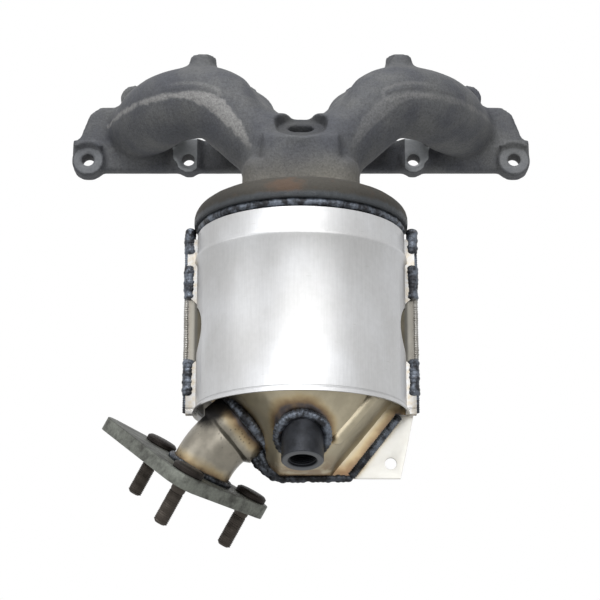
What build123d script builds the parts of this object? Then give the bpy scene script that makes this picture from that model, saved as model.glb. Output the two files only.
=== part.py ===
from build123d import *
import os
from math import cos, radians, sin, tan

os.makedirs("parts", exist_ok=True)

# Frame: X runs along the head flange, +Y points into the engine, +Z up along the can.
# The origin is the centre of the head flange's mating face, at the height of the ports.

# Head flange
port_pitch = 84.0
port_bore_radius = 17.0
runner_wall = 4.5
port_surround = 6.0
flange_thick = 10.0
flange_bar_bottom = -32.5
flange_bar_top = -8.5
flange_centre_top = 6.0
lower_bolt_z = -25.5
upper_bolt_z = 26.0
outer_bolt_x = 159.0
bolt_hole_radius = 4.75
nut_clearance_radius = 7.5
nut_clearance_depth = 14.0
ear_radius = 10.2
inner_boss_radius = 9.5
inner_pad_width = 18.4
pad_shift = 2.8
inner_pad_bevel = 5.0
pad_rise = 4.0
outer_lobe_radius = 12.0
lobe_wall = 3.0
lobe_wall_rise = 4.0
shoulder_top = 18.5
shoulder_inset = 20.0
shoulder_bend = 12.0
lobe_corner = 5.0
edge_blend = 3.0

# Arms: each outer runner grows into an arm that drops into the neck
arm_radius = 26.0
inner_runner_radius = 23.0
runner_throat_y = -33.0
outer_throat_x = 110.0
arm_shoulder = (95.5, -59.0, -1.0)
arm_apex = (64.0, -76.0, -1.5)
arm_foot_x = 14.5
arm_foot_z = -50.0
arm_end_z = -90.0
inner_bend = (40.0, -60.0, -9.0)
inner_foot = (15.5, -86.5, -52.0)
bend_limit = 60.0
apex_boss_radius = 9.75
apex_boss_top = 31.0
apex_boss_x = 71.0
apex_boss_y = -72.0

# Can axis, neck and collar
can_y = -88.0
neck_half_width = 41.0
neck_half_depth = 30.0
neck_corner = 15.0
neck_top = -62.0
neck_wall = 5.0
neck_bury = 10.0
saddle_half_width = 26.0
saddle_top = -22.0
saddle_ridge = 8.0
collar_radius = 74.5
collar_bottom = -105.0
collar_shoulder_z = -84.5
collar_shoulder_radius = 48.5
collar_shoulder_drop = 15.0
collar_crown = 4.0
collar_lip_radius = 62.0
dome_wall = 5.0

# Upstream sensor seat on the front of the saddle
sensor_tilt = 37.5
sensor_seat_y = -103.0
sensor_seat_z = -34.3
sensor_boss_radius = 22.0
sensor_seat_radius = 18.7
sensor_bore_radius = 9.0
sensor_boss_depth = 12.0
sensor_boss_wall = 5.0
sensor_face_clearance = 30.0

# Stamped can
sheet = 1.5
can_radius = 66.0
can_bottom = -223.0
seam_half_width = 78.8
seam_top = -112.5
seam_bottom = -237.0
funnel_inset = 1.4
trim_size = 400.0

# Each funnel section is (height, centre in X, half width, half depth)
funnel_sections = (
    (can_bottom, 0.0, can_radius, can_radius),
    (-236.0, 5.0, 51.0, 61.0),
    (-259.5, 5.0, 32.0, 44.5),
    (-274.5, 2.0, 22.5, 25.0),
    (-279.5, 3.0, 18.0, 11.0),
)
rib_start = Vector(47.0, -126.0, -233.0)
rib_end = Vector(24.0, -122.0, -260.0)
rib_radius = 5.0

# Outline of the flat lips on the seam plane
lip_outline = (
    (seam_half_width, seam_top),
    (seam_half_width, seam_bottom),
    (67.5, seam_bottom),
    (34.0, -279.5),
    (32.0, -281.5),
    (-17.0, -281.5),
    (-29.0, -275.0),
    (-27.0, -264.0),
    (-42.0, -240.0),
    (-62.0, -222.0),
    (-69.0, seam_bottom),
    (-seam_half_width, seam_bottom),
    (-seam_half_width, seam_top),
)

# Outlet stub and pipe: the stub's ring plane, then one bend to the outlet flange
stub_centre = (-40.0, can_y, -243.0)
stub_direction = (-0.764, 0.063, -0.642)
stub_radius = 24.0
stub_land = 29.0
stub_reach = 30.0
stub_trim = 60.0
flange_direction = (-0.485, 0.25, -0.838)
flange_roll = (0.871, 0.135, -0.473)
pipe_radius = 20.5
pipe_root_length = 13.0
pipe_root_run = 27.0
pipe_flange_run = 27.0
pipe_bend_radius = 55.0
pipe_step = 3.0
outlet_flange_thick = 9.5
outlet_stud_circle = 41.5
outlet_lobe_radius = 14.0
outlet_hub_radius = 30.0
outlet_ear_reach = 69.5
outlet_ear_angle = 158.0
outlet_ear_radius = 9.0
stud_angles = (141.2, -98.8, 21.2)
stud_radius = 5.0
stud_shank_radius = 5.6
stud_protrusion = 28.5
stud_head_radius = 11.0
stud_head_height = 4.5

# Downstream sensor bung
bung_mouth = (1.0, -137.0, -279.0)
bung_tilt = 74.2
bung_radius = 14.0
bung_bore_radius = 9.0
bung_length = 27.0
bung_chamfer = 0.8
bung_weld_radius = 20.5
bung_weld_crown = 15.5
bung_weld_height = 5.0
bung_weld_tilt = 42.0
bung_weld_distance = 19.6

# Weld legs and beads
weld_bulge = 0.65
collar_weld_leg = 6.0
root_weld_leg = 5.0
flange_weld_leg = 4.5
seam_bead_radius = 2.6
diagonal_bead_radius = 3.4
bottom_bead_radius = 3.0
bracket_bead_radius = 2.2
diagonal_weld_ends = ((66.3, -238.5), (34.3, -279.2))
bracket_weld_ends = ((35.0, -274.5), (60.0, -242.5))

# Monoliths and their support mats
brick_radius = 59.2
brick_length = 46.0
brick_gap = 10.0
brick_top = -115.0
mat_margin = 2.0

# Heat shields
shield_radius = 72.0
shield_top = -111.0
shield_bottom = -237.0
shield_bead_z = -129.0
shield_bead_height = 1.5
shield_bead_half = 3.0
shield_crest_half = 1.0
shield_lip = 4.5
shield_lip_flare = 2.2
waist_z = -180.0
waist_half_height = 17.5
waist_depth = 25.0
tab_upper_bottom = -160.0
tab_lower_top = -199.0
tab_point = 7.0

# Tack welds over the tabs: centre height and half length of each
tack_places = ((-114.0, 9.0), (-143.5, 12.0), (-211.5, 12.5))
tack_half_width = 4.3
tack_half_depth = 5.4
tack_chamfer = 2.2
tack_x = 77.2

# Bracket
bracket_thick = 2.5
bracket_bore_radius = 4.0
bracket_bore = (60.8, -270.3)
bracket_outline = (
    (30.0, -280.7),
    (67.4, -280.7),
    (71.6, -262.0),
    (76.6, -237.4),
    (64.0, -237.4),
)

seam_plane = Plane(origin=(0, can_y, 0), x_dir=(1, 0, 0), z_dir=(0, -1, 0))
can_axis = Axis((0, can_y, 0), (0, 0, 1))
port_positions = [port_pitch * step for step in (-1.5, -0.5, 0.5, 1.5)]
lower_inner_bolt_x = port_pitch
stub_axis = Vector(*stub_direction).normalized()
flange_axis = Vector(*flange_direction).normalized()
stub_origin = Vector(*stub_centre)
pipe_corner = stub_origin + stub_axis * pipe_root_run
flange_origin = pipe_corner + flange_axis * pipe_flange_run
bung_axis = Vector(0, -cos(radians(bung_tilt)), -sin(radians(bung_tilt)))
bung_origin = Vector(*bung_mouth)
sensor_axis = Vector(0, -sin(radians(sensor_tilt)), cos(radians(sensor_tilt)))
sensor_seat = Plane(origin=(0, sensor_seat_y, sensor_seat_z), x_dir=(1, 0, 0), z_dir=sensor_axis)


def finish(part, name):
    """Label a finished piece and write its STEP file."""
    part.label = name
    export_step(part, f"parts/{name}.step")


def mirrored(points, side):
    """Points given for the +X side, moved to the side wanted."""
    return [(side * x, y, z) for x, y, z in points]


def bend_radii(points, limit):
    """The largest fillet at each inner corner that its two runs leave room for."""
    corners = [Vector(*point) for point in points]
    radii = []
    for before, corner, after in zip(corners, corners[1:], corners[2:]):
        first, second = corner - before, after - corner
        turn = radians(first.get_angle(second))
        room = 0.45 * min(first.length, second.length) / tan(turn / 2)
        radii.append(min(room, limit))
    return radii


def runner_volume(shrink, start_y, end_z):
    """All four runners and both arms as solid rods, shrunk by a wall for the gas passages."""
    port_radius = port_bore_radius + runner_wall - shrink
    arm = arm_radius - shrink
    inner = inner_runner_radius - shrink
    outer_route = [
        (outer_throat_x, runner_throat_y, 0),
        arm_shoulder,
        arm_apex,
        (arm_foot_x, can_y, arm_foot_z),
        (arm_foot_x, can_y, end_z),
    ]
    inner_route = [
        (port_pitch / 2, runner_throat_y, 0),
        inner_bend,
        inner_foot,
        (inner_foot[0], inner_foot[1], end_z),
    ]
    legs = (
        (outer_route, arm, 1.5 * port_pitch),
        (inner_route, inner, 0.5 * port_pitch),
    )
    with BuildPart() as rods:
        for side in (-1, 1):
            for route, radius, port_x in legs:
                points = mirrored(route, side)
                with BuildLine() as path:
                    FilletPolyline(*points, radius=bend_radii(points, bend_limit))
                throat = Plane(origin=path.line @ 0, z_dir=path.line % 0)
                with BuildSketch(throat):
                    Circle(radius)
                sweep(path=path.line)
                with BuildSketch(Plane.XZ.offset(-start_y)):
                    with Locations((side * port_x, 0)):
                        Circle(port_radius)
                with BuildSketch(throat):
                    Circle(radius)
                loft()
    return rods.part


def dome_profile(inset, bottom):
    """Half outline of the collar's dome on the seam plane, inset for the cavity."""
    shoulder = collar_shoulder_radius - inset
    rim = collar_radius if inset == 0 else collar_lip_radius
    with BuildLine() as outline:
        crown = (0, collar_shoulder_z + collar_crown - inset)
        top = Line(crown, (shoulder, collar_shoulder_z - inset))
        curve = EllipticalCenterArc(
            (shoulder, collar_shoulder_z - collar_shoulder_drop - inset), rim - shoulder, collar_shoulder_drop
        )
        Line(curve @ 0, (rim, bottom))
        Line((rim, bottom), (0, bottom))
        Line((0, bottom), top @ 0)
    return outline.line


# Manifold casting
runner_body = runner_volume(0, -1.0, arm_end_z)
runner_bores = runner_volume(runner_wall, 1.0, arm_end_z - 2)

# The passages bend round the sensor's seat and leave a wall under and beside it
with BuildPart() as passages:
    add(runner_bores)
    with BuildSketch(sensor_seat.offset(-runner_wall)):
        Circle(sensor_seat_radius + runner_wall)
    extrude(amount=sensor_face_clearance, mode=Mode.SUBTRACT)

with BuildPart() as manifold_casting:
    # Flange bar, port surrounds, shoulders, ears and lobes in one outline
    with BuildSketch(Plane.XZ) as flange_outline:
        bar_height = flange_bar_top - flange_bar_bottom
        with Locations((0, (flange_bar_top + flange_bar_bottom) / 2)):
            Rectangle(2 * (outer_bolt_x - outer_lobe_radius / 2), bar_height)
        with Locations((0, (flange_centre_top + flange_bar_bottom) / 2)):
            Rectangle(port_pitch, flange_centre_top - flange_bar_bottom)
        for port_x in port_positions:
            with Locations((port_x, 0)):
                Circle(port_bore_radius + port_surround)
            with Locations((port_x, upper_bolt_z)):
                Circle(ear_radius)
        for side in (-1, 1):
            with Locations((side * outer_bolt_x, lower_bolt_z)):
                Circle(outer_lobe_radius)
            with Locations((side * lower_inner_bolt_x, lower_bolt_z)):
                Circle(inner_boss_radius)
            port_x = 1.5 * port_pitch
            lobe_edge = outer_bolt_x + outer_lobe_radius
            lobe_top = lower_bolt_z + outer_lobe_radius
            with BuildLine():
                Polyline(
                    (side * port_x, lower_bolt_z),
                    (side * lobe_edge, lower_bolt_z),
                    (side * lobe_edge, lobe_top + lobe_corner),
                    (side * (lobe_edge - lobe_corner), lobe_top + 1.3 * lobe_corner),
                    (side * (lobe_edge - shoulder_bend), shoulder_top - shoulder_bend / 2),
                    (side * (lobe_edge - shoulder_inset), shoulder_top),
                    (side * port_x, shoulder_top),
                    close=True,
                )
            make_face()
        offset(amount=edge_blend, kind=Kind.ARC)
        offset(amount=-edge_blend, kind=Kind.ARC)
    extrude(amount=flange_thick)

    # Raised bolt pads at the lower row
    with BuildSketch(Plane.XZ.offset(flange_thick)):
        for side in (-1, 1):
            pad_x = side * (lower_inner_bolt_x + pad_shift)
            with Locations((pad_x, (flange_bar_top + lower_bolt_z) / 2)):
                Rectangle(inner_pad_width, flange_bar_top - lower_bolt_z)
            with Locations((side * lower_inner_bolt_x, lower_bolt_z)):
                Circle(inner_boss_radius)
            with Locations((side * outer_bolt_x, lower_bolt_z)):
                Circle(outer_lobe_radius)
    extrude(amount=pad_rise)

    # Bevel down from the inner side of each inner pad
    with BuildSketch(Plane.XY.offset(lower_bolt_z - inner_boss_radius / 2)):
        for side in (-1, 1):
            pad_edge = lower_inner_bolt_x + pad_shift - inner_pad_width / 2
            with BuildLine():
                Polyline(
                    (side * pad_edge, -flange_thick),
                    (side * pad_edge, -flange_thick - pad_rise),
                    (side * (pad_edge - inner_pad_bevel), -flange_thick),
                    close=True,
                )
            make_face()
    extrude(amount=flange_bar_top - lower_bolt_z + inner_boss_radius / 2)

    # Step wall over each outer spotface
    with BuildSketch(Plane.XZ.offset(flange_thick)):
        for side in (-1, 1):
            with Locations((side * outer_bolt_x, lower_bolt_z)):
                Circle(outer_lobe_radius + lobe_wall)
                Circle(outer_lobe_radius, mode=Mode.SUBTRACT)
            with Locations((side * outer_bolt_x, lower_bolt_z - 1.2 * outer_lobe_radius)):
                Rectangle(4 * outer_lobe_radius, 4 * outer_lobe_radius, mode=Mode.SUBTRACT)
    extrude(amount=pad_rise + lobe_wall_rise)

    # Runners and arms
    add(runner_body)

    # Neck with a flat front, and the saddle block that carries the sensor seat
    neck_bottom = collar_bottom + neck_bury
    with BuildSketch(Plane.XY.offset(neck_bottom)):
        with Locations((0, can_y)):
            RectangleRounded(2 * neck_half_width, 2 * neck_half_depth, neck_corner)
    extrude(amount=neck_top - neck_bottom)
    saddle_front = can_y - neck_half_depth
    saddle_back = can_y + neck_half_depth
    facet_drop = neck_half_depth * tan(radians(sensor_tilt))
    with BuildSketch(Plane.YZ.offset(-saddle_half_width)):
        with BuildLine():
            Polyline(
                (saddle_front, neck_top - 1),
                (saddle_front, saddle_top - facet_drop),
                (can_y, saddle_top),
                (can_y + saddle_ridge, saddle_top),
                (saddle_back, saddle_top - facet_drop),
                (saddle_back, neck_top - 1),
                close=True,
            )
        make_face()
    extrude(amount=2 * saddle_half_width)

    # Collar dome and rim
    with BuildSketch(seam_plane):
        add(dome_profile(0, collar_bottom))
        make_face()
    revolve(axis=can_axis)

    # Apex bosses
    with BuildSketch(Plane.XY):
        with Locations((-apex_boss_x, apex_boss_y), (apex_boss_x, apex_boss_y)):
            Circle(apex_boss_radius)
    extrude(amount=apex_boss_top)

    # Sensor boss, cut back to its machined seat
    with BuildSketch(sensor_seat):
        Circle(sensor_boss_radius)
    extrude(amount=-sensor_boss_depth)
    with BuildSketch(sensor_seat):
        Circle(sensor_seat_radius)
    extrude(amount=sensor_face_clearance, mode=Mode.SUBTRACT)

    # Gas passages: runners, neck and dome
    add(passages.part, mode=Mode.SUBTRACT)
    with BuildSketch(Plane.XY.offset(neck_bottom)):
        with Locations((0, can_y)):
            RectangleRounded(
                2 * (neck_half_width - neck_wall), 2 * (neck_half_depth - neck_wall), neck_corner - neck_wall
            )
    extrude(amount=neck_top - neck_bottom, mode=Mode.SUBTRACT)
    with BuildSketch(seam_plane):
        add(dome_profile(dome_wall, collar_bottom))
        make_face()
    revolve(axis=can_axis, mode=Mode.SUBTRACT)

    # Inner boss and threaded bore of the sensor seat
    with BuildSketch(sensor_seat):
        Circle(sensor_bore_radius + sensor_boss_wall)
    extrude(amount=-sensor_boss_depth)
    with BuildSketch(sensor_seat):
        Circle(sensor_bore_radius)
    extrude(amount=-2 * sensor_boss_depth, mode=Mode.SUBTRACT)

    # Bolt holes, with room for the nuts of the upper row beside the runners
    with BuildSketch(Plane.XZ):
        with Locations(*[(port_x, upper_bolt_z) for port_x in port_positions]):
            Circle(bolt_hole_radius)
        for side in (-1, 1):
            for bolt_x in (lower_inner_bolt_x, outer_bolt_x):
                with Locations((side * bolt_x, lower_bolt_z)):
                    Circle(bolt_hole_radius)
    extrude(amount=flange_thick + pad_rise, mode=Mode.SUBTRACT)
    with BuildSketch(Plane.XZ.offset(flange_thick)):
        with Locations(*[(port_x, upper_bolt_z) for port_x in port_positions]):
            Circle(nut_clearance_radius)
    extrude(amount=nut_clearance_depth, mode=Mode.SUBTRACT)

finish(manifold_casting.part, "manifold_casting")

# Stamped can: one closed volume for the outside and one for the inside, split on the seam plane


def can_volume(inset):
    """The can's barrel, funnel, rib and outlet stub, inset by the sheet for the inside."""
    land = Plane(origin=stub_origin - stub_axis * inset, z_dir=stub_axis)
    slope_inset = inset * funnel_inset
    with BuildPart() as volume:
        with BuildSketch(Plane.XY.offset(can_bottom)):
            with Locations((0, can_y)):
                Circle(can_radius - inset)
        extrude(amount=collar_bottom - can_bottom + (inset > 0))
        for height, centre_x, half_x, half_y in funnel_sections:
            lift = inset if height < can_bottom else 0
            margin = slope_inset if height < can_bottom else inset
            with BuildSketch(Plane.XY.offset(height + lift)):
                with Locations((centre_x, can_y)):
                    if half_x == half_y:
                        Circle(half_x - margin)
                    else:
                        Ellipse(half_x - margin, half_y - margin)
        loft()
        rib_line = rib_end - rib_start
        with BuildSketch(Plane(origin=rib_start, z_dir=rib_line)):
            Circle(rib_radius - inset)
        extrude(amount=rib_line.length)
        with Locations(rib_start, rib_end):
            Sphere(rib_radius - inset)
        with BuildSketch(land):
            Circle(stub_land + inset)
        extrude(amount=stub_trim, mode=Mode.SUBTRACT)
        with BuildSketch(Plane(origin=stub_origin + stub_axis * (inset > 0), z_dir=-stub_axis)):
            Circle(stub_radius - inset)
        extrude(amount=stub_reach)
    return volume.part


can_outside = can_volume(0)
can_inside = can_volume(sheet)


def half_shell(facing):
    """One stamped half of the can; facing is 1 for the front half and -1 for the rear."""
    with BuildPart() as half:
        add(can_outside)
        with BuildSketch(seam_plane):
            Rectangle(2 * trim_size, 2 * trim_size)
        extrude(amount=-facing * trim_size, mode=Mode.SUBTRACT)
        with BuildSketch(seam_plane):
            with BuildLine():
                Polyline(*lip_outline, close=True)
            make_face()
        extrude(amount=facing * sheet)
        with BuildSketch(Plane(origin=stub_origin, z_dir=stub_axis)):
            Circle(stub_land)
        extrude(amount=stub_trim, mode=Mode.SUBTRACT)
        add(can_inside, mode=Mode.SUBTRACT)
    return half


front_shell = half_shell(1)
bung_seat = Plane(origin=bung_origin, x_dir=(1, 0, 0), z_dir=-bung_axis)
with BuildPart() as front_shell_bored:
    add(front_shell.part)
    with BuildSketch(bung_seat):
        Circle(bung_radius)
    extrude(amount=1.4 * bung_length, mode=Mode.SUBTRACT)
finish(front_shell_bored.part, "front_shell")

rear_shell = half_shell(-1)
finish(rear_shell.part, "rear_shell")

# Monoliths and mats
for place, label in enumerate(("upper", "lower")):
    top = brick_top - place * (brick_length + brick_gap)
    with BuildPart() as brick:
        with BuildSketch(Plane.XY.offset(top - brick_length)):
            with Locations((0, can_y)):
                Circle(brick_radius)
        extrude(amount=brick_length)
    finish(brick.part, f"{label}_monolith")
    with BuildPart() as mat:
        with BuildSketch(Plane.XY.offset(top - brick_length + mat_margin)):
            with Locations((0, can_y)):
                Circle(can_radius - sheet)
                Circle(brick_radius, mode=Mode.SUBTRACT)
        extrude(amount=brick_length - 2 * mat_margin)
    finish(mat.part, f"{label}_support_mat")

# Collar weld: a round bead in the corner between the collar and the can
collar_land = collar_radius - can_radius - 0.5
with BuildPart() as collar_weld:
    with BuildSketch(seam_plane):
        with BuildLine():
            root = Polyline(
                (can_radius, collar_bottom - collar_weld_leg),
                (can_radius, collar_bottom),
                (can_radius + collar_land, collar_bottom),
            )
            bulge = (can_radius + weld_bulge * collar_land, collar_bottom - weld_bulge * collar_weld_leg)
            ThreePointArc(root @ 1, bulge, root @ 0)
        make_face()
    revolve(axis=can_axis)
finish(collar_weld.part, "collar_weld")


# Heat shields
def heat_shield(facing):
    """One half-round shield with its bead, flared lip, side tabs and waist cut-outs."""
    with BuildPart() as shield:
        with BuildSketch(seam_plane):
            with BuildLine():
                skin = shield_radius
                bead = shield_bead_height
                outside = Polyline(
                    (skin, shield_top),
                    (skin, shield_bead_z + shield_bead_half),
                    (skin + bead, shield_bead_z + shield_crest_half),
                    (skin + bead, shield_bead_z - shield_crest_half),
                    (skin, shield_bead_z - shield_bead_half),
                    (skin, shield_bottom + shield_lip),
                    (skin + shield_lip_flare, shield_bottom),
                )
                inside = Polyline(
                    (skin + shield_lip_flare - sheet, shield_bottom),
                    (skin - sheet, shield_bottom + shield_lip),
                    (skin - sheet, shield_bead_z - shield_bead_half),
                    (skin + bead - sheet, shield_bead_z - shield_crest_half),
                    (skin + bead - sheet, shield_bead_z + shield_crest_half),
                    (skin - sheet, shield_bead_z + shield_bead_half),
                    (skin - sheet, shield_top),
                )
                Line(outside @ 1, inside @ 0)
                Line(inside @ 1, outside @ 0)
            make_face()
        revolve(axis=can_axis)
        with BuildSketch(seam_plane.offset(facing * sheet)):
            Rectangle(2 * trim_size, 2 * trim_size)
        extrude(amount=-facing * trim_size, mode=Mode.SUBTRACT)
        with BuildSketch(Plane.YZ.offset(-2 * can_radius)):
            with Locations((can_y, waist_z)):
                Ellipse(waist_depth, waist_half_height)
        extrude(amount=4 * can_radius, mode=Mode.SUBTRACT)
        tab_x = shield_radius - sheet / 2
        with BuildSketch(seam_plane.offset(facing * sheet)):
            for side in (-1, 1):
                with BuildLine():
                    Polyline(
                        (side * tab_x, seam_top),
                        (side * seam_half_width, seam_top),
                        (side * seam_half_width, tab_upper_bottom + tab_point),
                        (side * tab_x, tab_upper_bottom),
                        close=True,
                    )
                make_face()
                with BuildLine():
                    Polyline(
                        (side * tab_x, tab_lower_top),
                        (side * seam_half_width, tab_lower_top - tab_point),
                        (side * seam_half_width, seam_bottom),
                        (side * tab_x, seam_bottom),
                        close=True,
                    )
                make_face()
        extrude(amount=facing * sheet)
    return shield


front_heat_shield = heat_shield(1)
finish(front_heat_shield.part, "front_heat_shield")
rear_heat_shield = heat_shield(-1)
finish(rear_heat_shield.part, "rear_heat_shield")

# Bracket plate behind the rear lip
with BuildPart() as support_bracket:
    with BuildSketch(seam_plane.offset(-sheet)):
        with BuildLine():
            Polyline(*bracket_outline, close=True)
        make_face()
        with Locations(bracket_bore):
            Circle(bracket_bore_radius, mode=Mode.SUBTRACT)
    extrude(amount=-bracket_thick)
    add(can_outside, mode=Mode.SUBTRACT)
finish(support_bracket.part, "support_bracket")

# Outlet pipe: an expanded root, a step and a bend to the flange
def pipe_volume(inset, reach):
    """The pipe as a solid rod from the stub to the flange, inset by the sheet for its bore."""
    flange_end = flange_origin + flange_axis * reach
    with BuildPart() as rod:
        with BuildSketch(Plane(origin=stub_origin, z_dir=stub_axis)):
            Circle(stub_radius - inset)
        extrude(amount=pipe_root_length)
        step = stub_origin + stub_axis * pipe_root_length
        with BuildSketch(Plane(origin=step, z_dir=stub_axis)):
            Circle(stub_radius - inset)
        with BuildSketch(Plane(origin=step + stub_axis * pipe_step, z_dir=stub_axis)):
            Circle(pipe_radius - inset)
        loft()
        with BuildLine() as route:
            FilletPolyline(step + stub_axis * (pipe_step - 0.5), pipe_corner, flange_end, radius=pipe_bend_radius)
        with BuildSketch(Plane(origin=route.line @ 0, z_dir=route.line % 0)):
            Circle(pipe_radius - inset)
        sweep(path=route.line)
    return rod.part


pipe_outside = pipe_volume(0, 0.0)
pipe_inside = pipe_volume(sheet, 1.0)
with BuildPart() as outlet_pipe:
    add(pipe_outside)
    add(pipe_inside, mode=Mode.SUBTRACT)
finish(outlet_pipe.part, "outlet_pipe")

# Outlet flange: three lobes on the stud circle and one long ear
flange_face = Plane(origin=flange_origin, x_dir=flange_roll, z_dir=-flange_axis)
stud_places = [
    (outlet_stud_circle * cos(radians(angle)), outlet_stud_circle * sin(radians(angle))) for angle in stud_angles
]
ear_place = (
    outlet_ear_reach * cos(radians(outlet_ear_angle)),
    outlet_ear_reach * sin(radians(outlet_ear_angle)),
)


with BuildPart() as outlet_flange:
    with BuildSketch(flange_face):
        lobes = [(place, outlet_lobe_radius) for place in stud_places] + [((0, 0), outlet_hub_radius)]
        with BuildLine(mode=Mode.PRIVATE) as rings:
            for place, radius in lobes:
                CenterArc(place, radius, 0, 360)
            CenterArc(ear_place, outlet_ear_radius, 0, 360)
        make_hull(rings.edges())
    extrude(amount=outlet_flange_thick)
    with BuildSketch(flange_face):
        Circle(pipe_radius)
        with Locations(*stud_places):
            Circle(stud_shank_radius)
    extrude(amount=outlet_flange_thick, mode=Mode.SUBTRACT)
finish(outlet_flange.part, "outlet_flange")

# Studs: a thicker shank pressed through the flange, head on the pipe's side
for place, label in zip(stud_places, ("left", "front", "right")):
    with BuildPart() as stud:
        with BuildSketch(flange_face.offset(-stud_protrusion)):
            with Locations(place):
                Circle(stud_radius)
        extrude(amount=stud_protrusion)
        with BuildSketch(flange_face):
            with Locations(place):
                Circle(stud_shank_radius)
        extrude(amount=outlet_flange_thick)
        with BuildSketch(flange_face.offset(outlet_flange_thick)):
            with Locations(place):
                Circle(stud_head_radius)
        extrude(amount=stud_head_height)
    finish(stud.part, f"{label}_outlet_stud")

# Sensor bung
with BuildPart() as sensor_bung:
    with BuildSketch(bung_seat):
        Circle(bung_radius)
        Circle(bung_bore_radius, mode=Mode.SUBTRACT)
    extrude(amount=bung_length)
    chamfer(sensor_bung.faces().sort_by(Axis.Z)[0].edges(), bung_chamfer)
finish(sensor_bung.part, "sensor_bung")

# Welds, each cut back to the pieces that it joins
weld_axis = Vector(0, -cos(radians(bung_weld_tilt)), -sin(radians(bung_weld_tilt)))
weld_root = Plane(
    origin=bung_origin - bung_axis * bung_weld_distance - weld_axis * bung_weld_height,
    x_dir=(1, 0, 0),
    z_dir=weld_axis,
)
with BuildPart() as bung_weld:
    with BuildSketch(weld_root):
        Circle(bung_weld_radius)
    extrude(amount=bung_weld_height)
    with BuildSketch(weld_root.offset(bung_weld_height)):
        Circle(bung_weld_radius)
    with BuildSketch(weld_root.offset(2 * bung_weld_height)):
        Circle(bung_weld_crown)
    loft()
    with BuildSketch(bung_seat):
        Circle(bung_radius)
    extrude(amount=bung_length, mode=Mode.SUBTRACT)
    add(can_outside, mode=Mode.SUBTRACT)
finish(bung_weld.part, "bung_weld")


def fillet_bead(base, radius, leg):
    """A round fillet weld in the corner between a pipe and the face that it meets."""
    lathe_plane = Plane(origin=base.origin, x_dir=base.x_dir, z_dir=base.y_dir)
    with BuildPart() as bead:
        with BuildSketch(lathe_plane):
            with BuildLine():
                legs = Polyline((radius + leg, 0), (radius, 0), (radius, -leg))
                ThreePointArc(legs @ 1, (radius + weld_bulge * leg, -weld_bulge * leg), legs @ 0)
            make_face()
        revolve(axis=Axis(base.origin, base.z_dir))
    return bead.part


stub_land_plane = Plane(origin=stub_origin, x_dir=(0, 1, 0), z_dir=stub_axis)
finish(fillet_bead(stub_land_plane, stub_radius, root_weld_leg), "pipe_root_weld")
flange_top = flange_face.offset(outlet_flange_thick)
finish(fillet_bead(flange_top, pipe_radius, flange_weld_leg), "flange_weld")

# Seam welds along the straight edges of the lips
for side, label in ((-1, "left"), (1, "right")):
    with BuildPart() as seam_weld:
        with BuildSketch(Plane.XY.offset(seam_bottom)):
            with Locations((side * seam_half_width, can_y)):
                Circle(seam_bead_radius)
            with Locations((side * (seam_half_width - seam_bead_radius), can_y)):
                Rectangle(2 * seam_bead_radius, 2 * seam_bead_radius, mode=Mode.SUBTRACT)
        extrude(amount=seam_top - seam_bottom)
    finish(seam_weld.part, f"{label}_seam_weld")
    with BuildPart() as tack_welds:
        for height, half_length in tack_places:
            with BuildSketch(Plane.XY.offset(height - half_length)):
                with Locations((side * tack_x, can_y)):
                    Ellipse(tack_half_width, tack_half_depth)
            extrude(amount=2 * half_length)
        chamfer(tack_welds.faces().filter_by(Axis.Z).edges(), tack_chamfer)
        add(front_shell.part, mode=Mode.SUBTRACT)
        add(rear_shell.part, mode=Mode.SUBTRACT)
        add(front_heat_shield.part, mode=Mode.SUBTRACT)
        add(rear_heat_shield.part, mode=Mode.SUBTRACT)
        add(seam_weld.part, mode=Mode.SUBTRACT)
        add(collar_weld.part, mode=Mode.SUBTRACT)
        add(manifold_casting.part, mode=Mode.SUBTRACT)
    finish(tack_welds.part, f"{label}_tack_welds")


def bead_along(points, radius, depth):
    """A round bead through points of the seam plane, with its middle at the depth given."""
    places = [Vector(x, can_y + depth, z) for x, z in points]
    with BuildPart() as bead:
        for begin, end in zip(places, places[1:]):
            with BuildSketch(Plane(origin=begin, z_dir=end - begin)):
                Circle(radius)
            extrude(amount=(end - begin).length)
        with Locations(*places):
            Sphere(radius)
    return bead.part


with BuildPart() as diagonal_seam_weld:
    add(bead_along(diagonal_weld_ends, diagonal_bead_radius, -sheet / 3))
    for neighbour in (front_shell, rear_shell, support_bracket, front_heat_shield, rear_heat_shield):
        add(neighbour.part, mode=Mode.SUBTRACT)
finish(diagonal_seam_weld.part, "diagonal_seam_weld")

with BuildPart() as bottom_seam_weld:
    add(bead_along(lip_outline[4:7], bottom_bead_radius, 0))
    for neighbour in (front_shell, rear_shell, support_bracket, diagonal_seam_weld):
        add(neighbour.part, mode=Mode.SUBTRACT)
finish(bottom_seam_weld.part, "bottom_seam_weld")

with BuildPart() as bracket_weld:
    add(bead_along(bracket_weld_ends, bracket_bead_radius, sheet))
    for neighbour in (rear_shell, support_bracket, front_shell, diagonal_seam_weld):
        add(neighbour.part, mode=Mode.SUBTRACT)
finish(bracket_weld.part, "bracket_weld")
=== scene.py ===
"""Dresses the manifold catalytic converter: cast iron, stamped sheet, welds, threads and a white studio."""

import logging
import math
from dataclasses import dataclass, field
from enum import Enum
from typing import Any, Iterable, Sequence

import bmesh
import bpy
import numpy as np
from mathutils import Matrix, Vector, noise


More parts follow.
